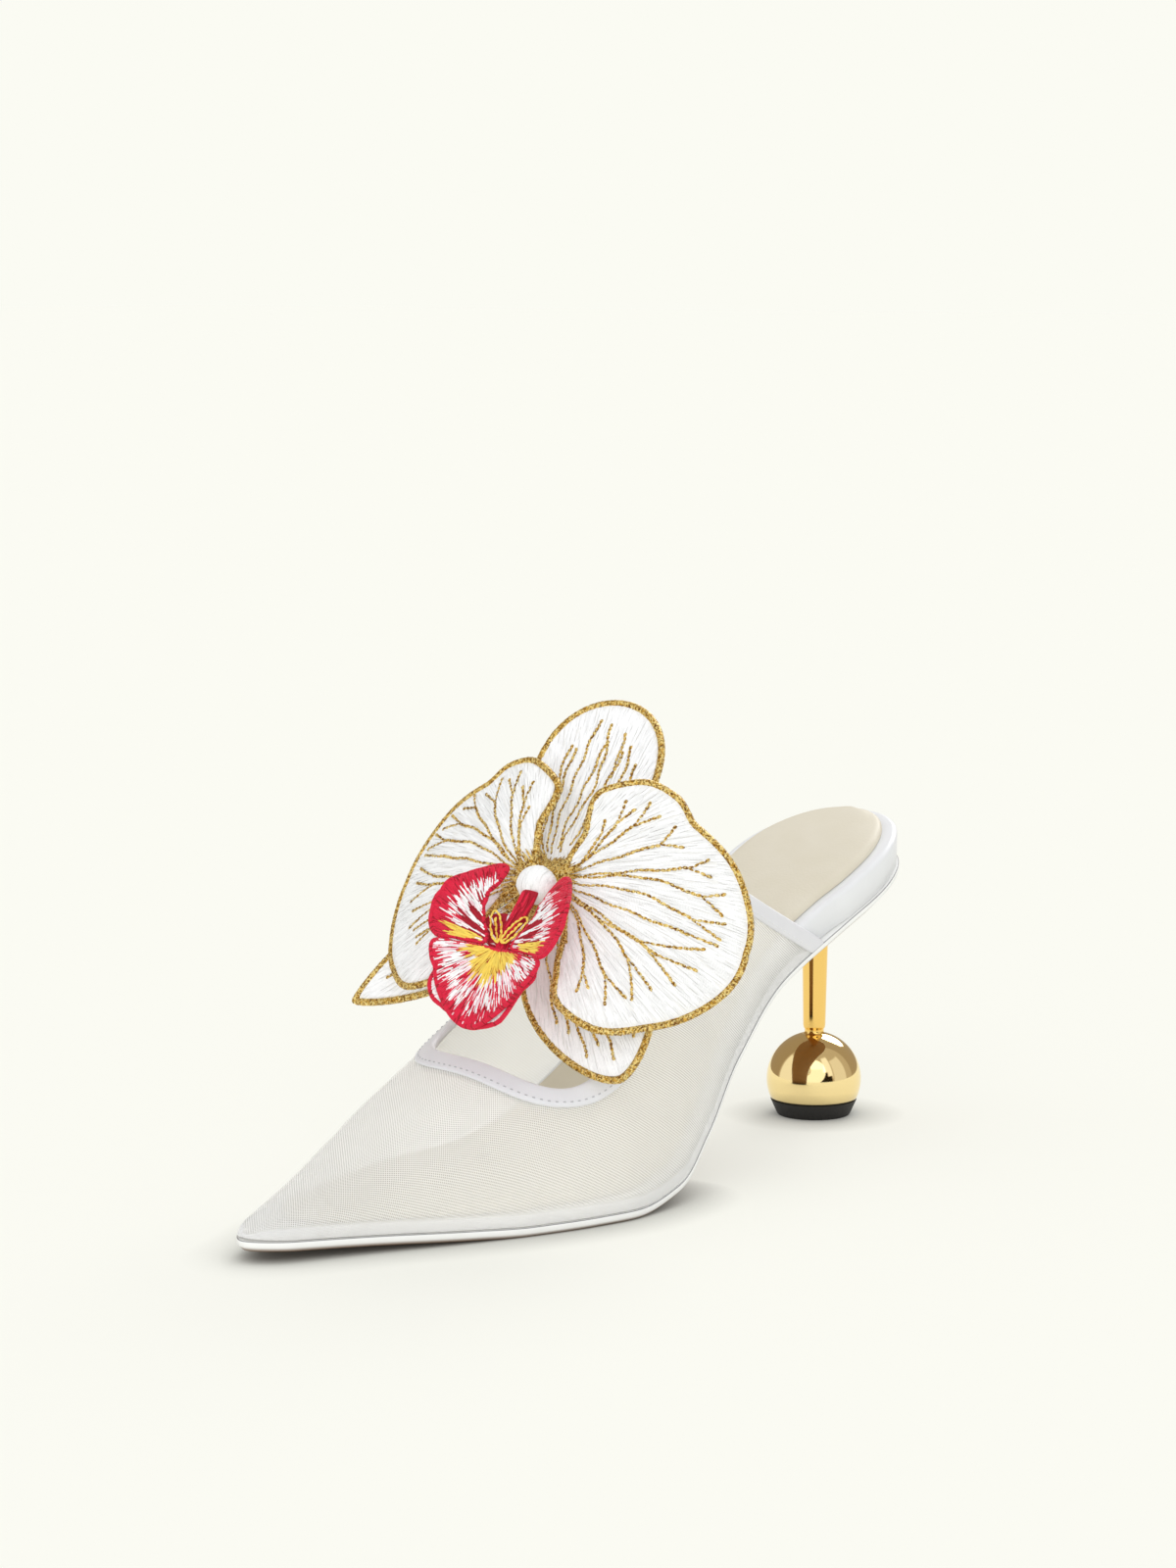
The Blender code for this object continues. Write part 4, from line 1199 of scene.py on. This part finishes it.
# Sepal veins: directions at the start, half way and at the tip, then near and far distances.
SEPAL_VEINS = {
    "dorsal_sepal": (
        (136, 117, 108, 8, 39), (126, 113, 106, 9, 38), (120, 105, 99, 8, 46),
        (110, 98, 94, 9, 40), (106, 92, 95, 8, 45), (90, 86, 86, 10, 38), (86, 87, 89, 30, 43),
        (78, 79, 84, 11, 40), (70, 73, 78, 13, 36),
    ),
    "sepal_right": (
        (-28, -38, -42, 12, 42), (-36, -42, -44, 12, 46), (-44, -47, -48, 12, 44),
        (-50, -52, -52, 12, 49), (-56, -57, -56, 12, 44), (-62, -62, -60, 12, 46),
        (-70, -68, -65, 12, 39), (-82, -74, -70, 12, 36),
    ),
    "sepal_left": (
        (-136, -140, -142, 14, 44), (-144, -145, -145, 14, 52), (-152, -149, -148, 14, 42),
    ),
}
SEPAL_BASE_BACK = 22.0
SHEET_INSET = 0.5
# The height of the stitches over the sheet's middle and their spacing, on the front and the back.
WHITE_FACES = ((0.42, 0.40), (-0.42, 0.62))
WHITE_LENGTH = 7.5
WHITE_STITCH = (0.66, 0.30)
VEIN_LIFT = 0.66
CORD_SHOWN = 0.78
CORD_SPACING = 0.42
CORD_INSET = -0.15


def polar_line(base, marks, steps=24, sway=0.0):
    """A smooth, slightly swaying line through directions (degrees) and distances around a base."""
    at = np.linspace(0, 1, steps)
    places = np.linspace(0, 1, len(marks))
    direction, distance = zip(*marks)
    angle = np.radians(smooth_through(places, direction)(at))
    reach = smooth_through(places, distance)(at)
    angle = angle + sway / reach * np.sin(2 * np.pi * (reach - reach[0]) / SWAY_LENGTH + direction[0])
    return base + reach[:, None] * ray(angle)


def forked_veins(rows, side):
    """Veins that bend on their way out and end in a fork."""
    lines = []
    for start, bend, fork, fork_distance, upper_tip, lower_tip, tip_distance in rows:
        marks = ((start, VEIN_START), (bend, (VEIN_START + fork_distance) / 2), (fork, fork_distance))
        lines.append(polar_line(PETAL_BASE, marks, sway=PETAL_SWAY))
        for tip in {upper_tip, lower_tip}:
            lines.append(polar_line(PETAL_BASE, ((fork, fork_distance), (tip, tip_distance)), 8))
    return [line * (side, 1) for line in lines]


def plain_veins(rows):
    """Veins from the heart of the flower."""
    lines = []
    for start, bend, tip, near, far in rows:
        marks = ((start, near), (bend, (near + far) / 2), (tip, far))
        lines.append(polar_line(np.zeros(2), marks, sway=SEPAL_SWAY))
    return lines


def white_sheet(name, outline, surface, base, veins, white):
    """One embroidered sheet: backing, white satin stitches on both faces, veins and wrapped edge."""
    edge = outline(full_turn(), 1.0, SHEET_INSET)
    layers = [sheet_base(outline, surface, SHEET_INSET, WARM_WHITE)]
    for lift, spacing in WHITE_FACES:
        starts, ends = stitch_rows(edge, base, WHITE_LENGTH, spacing)
        tones = varied(white, 0.16, len(starts))
        layers.append(satin(surface, starts, ends, lift, WHITE_STITCH, tones))
    piece(name + "_stitches", joined(layers), "thread", "white_thread", name)
    gold = [chain(surface, line, VEIN_LIFT, vein_tones) for line in veins]
    piece(name + "_veins", joined(gold), "gold_thread", "gold_cord")
    wrap = wrapped_edge(outline, surface, CORD_SHOWN, foil_tones, CORD_SPACING, CORD_INSET)
    piece(name + "_edge", wrap, "gold_thread", "gold_cord", name + "_cord")


def petals_and_sepals():
    for name, side in (("petal_right", 1), ("petal_left", -1)):
        outline = lobe_outline(PETAL_ROWS, PETAL_MIDDLE, side)
        veins = forked_veins(PETAL_VEINS[name], side)
        white_sheet(name, outline, petal_surface, PETAL_BASE * (side, 1), veins, WHITE)
    for values in SEPAL_ROWS:
        row = dict(zip(SEPAL_COLUMNS, values))

        def surface(right, up, row=row):
            return row["front"] - row["sweep"] * np.hypot(right, up)

        turn = math.radians(row["direction"])
        base = -SEPAL_BASE_BACK * np.array([math.sin(turn), math.cos(turn)])
        veins = plain_veins(SEPAL_VEINS[row["name"]])
        # The sepals take the brighter white, painted light against the petals' shade.
        white_sheet(row["name"], sepal_outline(row), surface, base, veins, SEPAL_PAINTED_LIGHT_WHITE)


# Heart, lip, column and claw.

HEART_THREADS = 220
HEART_THREAD = (0.5, 0.4)
HEART_MIDDLE = (0.4, -2.4)
HEART_NEAR = 2.0
HEART_FAR = 10.5
HEART_RAGGED = 4.0
HEART_FRONT = 2.9
HEART_SLOPE = 0.1
HEART_TOP_SLOPE = -0.8


def heart_piece():
    """Gold threads that gather around the column, where the veins begin."""
    angle = 2 * np.pi * (np.arange(HEART_THREADS) + rng.random(HEART_THREADS)) / HEART_THREADS
    lower = np.maximum(-np.sin(angle), 0)
    far = HEART_FAR + HEART_RAGGED * (lower - rng.random(HEART_THREADS))
    reach = HEART_NEAR + (far - HEART_NEAR)[:, None] * np.linspace(0, 1, STITCH_STEPS)
    toward_top = np.clip((np.sin(angle) - 0.75) / 0.15, 0, 1)[:, None]
    slope = HEART_SLOPE * (1 - toward_top) + HEART_TOP_SLOPE * toward_top
    front = HEART_FRONT + slope * (reach - HEART_NEAR) + 0.5 * rng.random((HEART_THREADS, 1))
    flat = HEART_MIDDLE + reach[..., None] * ray(angle)[:, None]
    paths = flower_point(flat[..., 0], flat[..., 1], front)
    tones = picked((GOLD, DARK_GOLD, BRIGHT_GOLD), (0.45, 0.35, 0.20), HEART_THREADS)
    gold = threads(paths, AXES[2], HEART_THREAD, tones, sides=6)
    piece("heart_threads", gold, "gold_thread", "gold_cord")


MID_LOBE_MIDDLE = (0.0, -34.0)
MID_LOBE_ROWS = (
    (0, 12.4), (10, 14.4), (23, 16.4), (40, 12.6), (60, 10.4), (90, 9.4), (120, 10.4), (140, 12.6),
    (157, 16.4), (170, 14.4), (180, 12.4), (223, 10.6), (270, 11.6), (317, 10.6), (360, 12.4),
)
WING_MIDDLE = (11.5, -15.0)
WING_ROWS = (
    (0, 6.2), (30, 6.3), (60, 7.2), (82, 9.4), (104, 13.2), (118, 9.4), (138, 5.4), (180, 4.3),
    (212, 6.6), (229, 11.8), (246, 10.6), (265, 10.2), (287, 11.6), (322, 8.4), (360, 6.2),
)
LIP_THROAT_MIDDLE = (0.0, -18.6)
LIP_THROAT_ROWS = (
    (0, 7.0), (50, 5.0), (90, 3.6), (130, 5.0), (180, 7.0), (230, 6.6), (270, 6.4), (310, 6.6), (360, 7.0),
)
LIP_THROAT_BEHIND = 1.6
LIP_MEETING = np.array([0.0, -23.4])
LIP_INSET = 0.3
LIP_LENGTH = 4.0
LIP_STITCH = (0.42, 0.30)
LIP_FACES = ((0.45, 0.24), (-0.45, 0.55))
RIM_SPACING = 0.36
WING_STRIPES = 24.0
# Shares of the way from where the lobes meet to their edges.
FAN_END = 0.48
MID_BORDER = 0.93
MID_BORDER_WIDER = 0.09
STRIPE_END = 0.66
WING_YELLOW_START = 0.34
WING_YELLOW_TURN = math.radians(20)
WING_BORDER = 0.80
WING_BORDER_WIDER = 0.18
# Where the mid lobe's second layer shows: directions and widths in degrees, and how far it sticks out.
BACK_LOBE_BULGES = ((204, 24, 3.0), (316, 20, 2.2))
BACK_LOBE_SMALLER = 0.6
BACK_LOBE_BEHIND = 1.5


def mid_lobe_tones(share, angle):
    """Yellow fan, then white and pink with crimson streaks, then a border that is widest at the bottom."""
    number = len(share)
    ragged = share + 0.16 * (rng.random(number) - 0.5)
    tones = picked((WHITE, PINK, CRIMSON), (0.50, 0.24, 0.26), number)
    yellow = picked((YELLOW, AMBER), (0.85, 0.15), number)
    tones = np.where((ragged < FAN_END)[:, None], yellow, tones)
    border = picked((CRIMSON, DARK_RED, PINK), (0.82, 0.12, 0.06), number)
    edge = MID_BORDER - MID_BORDER_WIDER * np.clip(np.cos(1.4 * angle), 0, 1)
    return np.where((ragged > edge)[:, None], border, tones)


def wing_tones(share, angle):
    """Dark red stripes from the middle, white between them, a crimson border, yellow by the mid lobe."""
    number = len(share)
    ragged = share + 0.14 * (rng.random(number) - 0.5)
    turn = np.abs(angle)
    tones = picked((WHITE, PINK, CRIMSON), (0.76, 0.14, 0.10), number)
    stripe = (np.sin(turn * WING_STRIPES) > -0.2) & (ragged < STRIPE_END)
    tones = np.where(stripe[:, None], DARK_RED, tones)
    yellow = picked((YELLOW, AMBER), (0.85, 0.15), number)
    low = (turn < WING_YELLOW_TURN) & (ragged > WING_YELLOW_START)
    tones = np.where(low[:, None], yellow, tones)
    border = picked((CRIMSON, DARK_RED), (0.88, 0.12), number)
    edge = WING_BORDER - WING_BORDER_WIDER * np.clip((turn - 1.3) / 0.7, 0, 1)
    return np.where((ragged > edge)[:, None], border, tones)


def throat_tones(share, angle):
    """Dark red stitches with a few pale lines."""
    stripe = np.sin(angle * WING_STRIPES) > -0.85
    return np.where(stripe[:, None], DARK_RED, picked((WHITE, PINK), (0.6, 0.4), len(share)))


def pale_tones(share, angle):
    return picked((WHITE, PINK), (0.9, 0.1), len(share))


def behind(surface, depth):
    """The same sheet, set back."""
    return lambda right, up: surface(right, up) - depth


def reach_along(polygon, base, angle):
    """How far rays from the base run before they leave the outline for good."""
    far = np.linspace(0, 100, 500)
    kept = inside(base + far[:, None] * ray(angle)[:, None], polygon)
    return np.max(np.where(kept, far, 0.0), axis=1)


def lip_layers(outline, surface, tones_of, zero):
    """Backing and stitches of one lobe of the lip, which radiate from where the lobes meet."""
    polygon = outline(full_turn(), 1.0, LIP_INSET)
    layers = [sheet_base(outline, surface, LIP_INSET, DARK_RED)]
    for lift, spacing in LIP_FACES:
        starts, ends = stitch_rows(polygon, LIP_MEETING, LIP_LENGTH, spacing)
        middle = (starts + ends) / 2 - LIP_MEETING
        angle = np.arctan2(middle[:, 1], middle[:, 0])
        edge = reach_along(polygon, LIP_MEETING, angle)
        share = np.linalg.norm(middle, axis=1) / np.maximum(edge, 1e-6)
        turn = (angle - math.radians(zero) + np.pi) % (2 * np.pi) - np.pi
        tones = tones_of(share, turn) if lift > 0 else np.tile(CRIMSON, (len(starts), 1))
        tones = np.clip(tones * (1 + 0.2 * (rng.random((len(tones), 1)) - 0.5)), 0, 1)
        layers.append(satin(surface, starts, ends, lift, LIP_STITCH, tones))
    return layers


def back_lobe_rows():
    """The mid lobe's second layer, which shows beside the first at its lower left and right."""
    reach = smooth_through(*zip(*MID_LOBE_ROWS))
    degrees = np.arange(0, 361, 15)
    bulges = sum(grow * np.exp(-(((degrees - at) / width) ** 2)) for at, width, grow in BACK_LOBE_BULGES)
    return list(zip(degrees, reach(degrees) + bulges - BACK_LOBE_SMALLER))


def lip_pieces():
    back = behind(lip_surface, BACK_LOBE_BEHIND)
    mid_lobe = lobe_outline(MID_LOBE_ROWS, MID_LOBE_MIDDLE)
    back_lobe = lobe_outline(back_lobe_rows(), MID_LOBE_MIDDLE)
    right, left = (lobe_outline(WING_ROWS, WING_MIDDLE, side) for side in (1, -1))
    rows = (
        ("lip_mid_stitches", mid_lobe, lip_surface, mid_lobe_tones, -90.0, 0.52, 0.35, ("lip_mid",)),
        ("lip_wing_right_stitches", right, lip_surface, wing_tones, -14.0, 0.52, 0.35, ("lip_wing_right",)),
        ("lip_wing_left_stitches", left, lip_surface, wing_tones, 194.0, 0.52, 0.35, ("lip_wing_left",)),
        ("lip_mid_back_layer", back_lobe, back, pale_tones, -90.0, 0.55, 0.3, ()),
    )
    for name, outline, surface, tones_of, zero, rim_radius, rim_inset, nodes in rows:
        layers = lip_layers(outline, surface, tones_of, zero)
        layers.append(wrapped_edge(outline, surface, rim_radius, rim_tones, RIM_SPACING, rim_inset))
        piece(name, joined(layers), "thread", "red_thread", *nodes)


COLUMN_MIDDLE = (1.6, -5.6, 7.0)
COLUMN_RADII = (4.9, 4.7, 4.6)
COLUMN_STITCHES = 190
COLUMN_STITCH = (0.6, 0.34)
# The stem behind the cap: front, radius, right and up. Its first rows are gold, the others wound in white.
STEM_ROWS = (
    (3.4, 2.8, 1.3, -4.6),
    (1.7, 2.6, 0.7, -3.2),
    (0.6, 3.6, 0.2, -1.6),
    (-1.5, 4.4, 0.0, -1.0),
    (-1.7, 2.6, 0.0, -1.0),
    (-6.7, 2.6, 0.0, -1.0),
    (-6.9, 7.5, 0.0, -1.0),
    (-18.5, 4.5, 0.0, -1.0),
)
STEM_GOLD_ROWS = 4
STEM_WINDING = 0.45
STEM_THREAD = (1.3 * STEM_WINDING, 0.4)


def cap_point(x, y, z):
    """A point of the column's cap, from one of a ball of radius one."""
    return flower_point(*(m + r * v for m, r, v in zip(COLUMN_MIDDLE, COLUMN_RADII, (x, y, z))))


def column_piece():
    """White padded cap, covered with stitches along its length, on its stem."""
    turns = full_turn(48)
    right, up = ray(turns).T
    heights = np.radians(np.linspace(88, -50, 22))
    rings = [cap_point(math.cos(h) * right, math.cos(h) * up, math.sin(h)) for h in heights]
    tones = [WARM_WHITE] * len(rings)
    tones += [GOLD] * STEM_GOLD_ROWS + [WARM_WHITE] * (len(STEM_ROWS) - STEM_GOLD_ROWS)
    for front, radius, aside, above in STEM_ROWS:
        rings.append(flower_point(aside + radius * right, above + radius * up, front))
    core = skin(np.stack(rings), tone=np.repeat(tones, len(turns), axis=0))
    x = rng.uniform(-1, 1, COLUMN_STITCHES)[:, None]
    swing = rng.uniform(-1.2, 0.5, COLUMN_STITCHES)[:, None] + 0.9 * np.linspace(0, 1, 6)
    ring = np.sqrt(1 - 0.96 * x**2)
    ball = unit(np.stack(np.broadcast_arrays(x, ring * np.sin(swing), ring * np.cos(swing)), axis=-1))
    grow = 1.02 + 0.02 * rng.random((COLUMN_STITCHES, 1))
    paths = cap_point(*np.moveaxis(ball * grow[..., None], -1, 0))
    ups = unit(paths - flower_point(*COLUMN_MIDDLE))
    cover = threads(paths, ups, COLUMN_STITCH, varied(WHITE, 0.12, COLUMN_STITCHES))
    piece("column_cap", joined([core, cover, wound_stem()]), "thread", "white_thread", "column")


def wound_stem():
    """White thread wound around the stalk behind the flower."""
    front, radius, aside, above = np.array(STEM_ROWS[STEM_GOLD_ROWS:]).T
    level = np.arange(front[-1] + 0.3, front[0], STEM_WINDING)[::-1]
    share = np.linspace(0, 1, 25)
    right, up = ray(2 * np.pi * share).T
    reach = np.interp(-level, -front, radius)[:, None] + 0.1 * rng.random((len(level), 1))
    climb = level[:, None] + STEM_WINDING * (share - 0.5)
    paths = flower_point(aside[0] + reach * right, above[0] + reach * up, climb)
    ups = unit(paths - flower_point(aside[0], above[0], climb))
    return threads(paths, ups, STEM_THREAD, varied(WHITE, 0.12, len(level)), taper=0.05)


CLAW_ROWS = (
    (8.6, 2.7, 2.0, 10.3),
    (9.6, 2.6, 2.2, 10.2),
    (12.0, 2.1, 2.2, 9.6),
    (16.0, 1.1, 2.1, 9.0),
    (21.0, 0.2, 1.9, 8.7),
    (27.0, 0.0, 1.4, 8.4),
)
CLAW = table_curves("right half_width front", CLAW_ROWS)
CLAW_BULGE = 0.64
CLAW_STITCHES = 130
CLAW_STITCH_LENGTH = 4.0
CLAW_STITCH = (0.5, 0.34)


def claw_piece():
    """Dark red strip from the front of the column to the middle of the lip, stitched along its length."""
    first, last = CLAW_ROWS[0][0], CLAW_ROWS[-1][0]
    down = np.linspace(first, last, 30)[:, None]
    across, bulge = ray(full_turn(16)).T
    front = CLAW["front"](down) + CLAW_BULGE * eased(bulge, 0.6)
    right = CLAW["right"](down) + CLAW["half_width"](down) * across
    core = skin(flower_point(right, -down, front), tone=DARK_RED)
    start = rng.uniform(first, last - CLAW_STITCH_LENGTH, CLAW_STITCHES)
    run = start[:, None] + CLAW_STITCH_LENGTH * np.linspace(0, 1, STITCH_STEPS)
    across = rng.uniform(-0.92, 0.92, CLAW_STITCHES)[:, None]
    front = CLAW["front"](run) + CLAW_BULGE * (1 - across**4) + 0.1
    paths = flower_point(CLAW["right"](run) + across * CLAW["half_width"](run), -run, front)
    tones = picked((DARK_RED, CRIMSON), (0.45, 0.55), CLAW_STITCHES)
    cover = threads(paths, AXES[2], CLAW_STITCH, tones)
    throat = lobe_outline(LIP_THROAT_ROWS, LIP_THROAT_MIDDLE)
    layers = lip_layers(throat, behind(lip_surface, LIP_THROAT_BEHIND), throat_tones, 90.0)
    piece("claw_stitches", joined([core, cover, *layers]), "thread", "red_thread", "lip_claw")


CALLUS_MIDDLE = np.array([2.6, -19.2])
CALLUS_HALF_SIZES = np.array([1.4, 4.4])
CALLUS_TILT = 28.0
CALLUS_FRONT = 10.5
CALLUS_RIB = (-0.9, 0.55)
CALLUS_WIDTH = 0.7


def callus_pieces():
    """Two yellow loops of chain stitch, each with a rib down its middle."""
    def level(right, up):
        return CALLUS_FRONT + 0 * right

    tilt = math.radians(CALLUS_TILT)
    turned = np.array([[math.cos(tilt), -math.sin(tilt)], [math.sin(tilt), math.cos(tilt)]])
    loop = ray(np.append(full_turn(40), 0.0))
    rib = np.linspace(*CALLUS_RIB, 12)[:, None] * (0, 1)
    for name, side in (("callus_right", 1), ("callus_left", -1)):
        parts = []
        for line in (loop, rib):
            line = (CALLUS_MIDDLE + line * CALLUS_HALF_SIZES @ turned) * (side, 1)
            parts.append(chain(level, line, 0.0, yellow_tones, CALLUS_WIDTH))
        piece(name + "_chain", joined(parts), "thread", "yellow_cord", name)


# Stage. The photograph's camera has a frame of 1200 by 1600 pixels, whose middle is off the lens axis.

CAMERA_AZIMUTH = math.radians(39.28)
CAMERA_ELEVATION = math.radians(10.10)
CAMERA_PLACE = (620.6, -759.4, 226.6)
FOCAL_PIXELS = 4070.9
FRAME_HEIGHT = 1600
FRAME_SHIFT = (5, 193)
SENSOR = 36.0
BACKDROP = srgb(251, 251, 243)
FLOOR_SIZE = 30.0
FLOOR_GLOW = 0.60
FLOOR_PAPER = (0.3233, 0.3204, 0.2929)
FLOOR_UNEVEN = 0.995
# Reach and strength of the floor's painted contact shadow.
CONTACT_SHADOW_REACH = 14.0
CONTACT_SHADOW_DEPTH = 1.3
WORLD_LIGHT = 0.85
WORLD_COLOUR = (0.98, 0.99, 1.01)
# Suns: strength, degrees right of the camera, height and softness in degrees, whether they cast shadows.
SUNS = {
    "key": (1.3, 155.0, 36.0, 30.0, True),
    "fill": (0.92, -5.0, 25.0, 60.0, False),
}
# What polished metal mirrors: turns left and right of the camera in degrees, sines of heights, strength.
STUDIO_PANELS = (
    (-178.0, -100.0, -0.2, 1.1, 0.40),
    (-96.0, -54.0, -0.2, 0.74, 0.95),
    (24.0, 46.0, 0.12, 0.84, 1.05),
    (49.0, 84.0, -0.2, 0.72, 0.85),
    (-26.0, 44.0, -0.2, 0.22, 0.02),
    (-20.0, 33.0, -0.2, 0.38, 0.02),
    (-14.0, 20.0, -0.2, 0.52, 0.02),
    (104.0, 178.0, -0.2, 1.1, 0.44),
)
STUDIO_BASE = 0.58
STUDIO_SHADE = (0.80, 0.52, 0.22)


def floor():
    """A pale floor that glows like the backdrop, with a painted contact shadow: the glow dims where
    something stands close over it.
    """
    look = new_look("pale_floor")
    painted_contact_shadow = node(look, "AmbientOcclusion", {"Distance": CONTACT_SHADOW_REACH * MM}, samples=8).outputs["AO"]
    darker = tuple(FLOOR_UNEVEN * value for value in FLOOR_PAPER)
    inputs = {
        "Base Color": mixed(look, noise(look, 40.0), FLOOR_PAPER, darker),
        "Roughness": 0.9,
        "Specular IOR Level": 0.0,
        "Emission Color": (*BACKDROP, 1),
        # Painted contact shadow: the glow follows the floor's ambient occlusion.
        "Emission Strength": maths(look, "MULTIPLY", maths(look, "POWER", painted_contact_shadow, CONTACT_SHADOW_DEPTH), FLOOR_GLOW),
    }
    dressed(look, inputs)
    half = FLOOR_SIZE / 2
    data = bpy.data.meshes.new("floor")
    corners = [(-half, -half, 0), (half, -half, 0), (half, half, 0), (-half, half, 0)]
    data.from_pydata(corners, [], [(0, 1, 2, 3)])
    data.materials.append(look)
    linked("floor", data)


def toward(azimuth, rise):
    """A direction from the shoe, by its azimuth and its rise over a level run of one."""
    return Vector((math.sin(azimuth), -math.cos(azimuth), rise))


def camera():
    back = toward(CAMERA_AZIMUTH, math.tan(CAMERA_ELEVATION)).normalized()
    right = Vector((math.cos(CAMERA_AZIMUTH), math.sin(CAMERA_AZIMUTH), 0))
    data = bpy.data.cameras.new("photo_camera")
    data.lens = FOCAL_PIXELS / FRAME_HEIGHT * SENSOR
    data.sensor_width = SENSOR
    data.shift_x = FRAME_SHIFT[0] / FRAME_HEIGHT
    data.shift_y = FRAME_SHIFT[1] / FRAME_HEIGHT
    turned = Matrix((right, back.cross(right), back)).transposed().to_4x4()
    x, y, z = CAMERA_PLACE
    turned.translation = Vector((x - CENTRE_X, y, z)) * MM
    thing = linked("photo_camera", data)
    thing.matrix_world = turned
    bpy.context.scene.camera = thing


def band(look, value, low, high, soft):
    """Is 1 where the value lies between low and high."""
    sides = []
    for edge in (low, high):
        made = node(look, "MapRange", {"Value": value, "From Min": edge - soft, "From Max": edge + soft})
        sides.append(made.outputs["Result"])
    return maths(look, "SUBTRACT", *sides)


def studio_reflection(world):
    """How bright a room of panels is in a direction."""
    direction = node(world, "TexCoord").outputs["Generated"]
    sights = []
    for azimuth in (CAMERA_AZIMUTH + math.pi / 2, CAMERA_AZIMUTH):
        along = {0: direction, 1: toward(azimuth, 0)}
        sights.append(node(world, "VectorMath", along, operation="DOT_PRODUCT").outputs["Value"])
    turn = maths(world, "ARCTAN2", *sights)
    height = node(world, "SeparateXYZ", {"Vector": direction}).outputs["Z"]
    strength = STUDIO_BASE
    for left, right, low, high, level in STUDIO_PANELS:
        sideways = band(world, turn, math.radians(left), math.radians(right), 0.03)
        panel = maths(world, "MULTIPLY", sideways, band(world, height, low, high, 0.02))
        strength = between(world, panel, strength, level)
    return strength


def lights():
    """An even world, panels that only glossy rays see, the plain backdrop for the camera, and two suns."""
    scene = bpy.context.scene
    scene.view_settings.view_transform = "Standard"
    world = bpy.data.worlds.new("studio")
    scene.world = world
    world.use_nodes = True
    rays = node(world, "LightPath").outputs
    mirrored = studio_reflection(world)
    studio_colour = mixed(world, mirrored, STUDIO_SHADE, WORLD_COLOUR)
    plain = world.node_tree.nodes["Background"]
    inputs = {
        "Color": mixed(world, rays["Is Glossy Ray"], WORLD_COLOUR, studio_colour),
        "Strength": between(world, rays["Is Glossy Ray"], WORLD_LIGHT, mirrored),
    }
    dress(world, plain, inputs)
    shown = node(world, "Background", {"Color": (*BACKDROP, 1)}).outputs[0]
    mix = node(world, "MixShader", {0: rays["Is Camera Ray"], 1: plain.outputs[0], 2: shown})
    feed(world, world.node_tree.nodes["World Output"].inputs["Surface"], mix.outputs[0])
    for name, (strength, turn, height, soft, shadow) in SUNS.items():
        sun = bpy.data.lights.new(name, "SUN")
        sun.energy = strength
        sun.angle = math.radians(soft)
        sun.use_shadow = shadow
        aim = -toward(CAMERA_AZIMUTH + math.radians(turn), math.tan(math.radians(height)))
        linked(name, sun).rotation_euler = aim.to_track_quat("-Z", "Y").to_euler()


camera()
floor()
lights()
sole_pieces()
upper_piece()
binding_pieces()
heel_pieces()
petals_and_sepals()
lip_pieces()
heart_piece()
column_piece()
claw_piece()
callus_pieces()
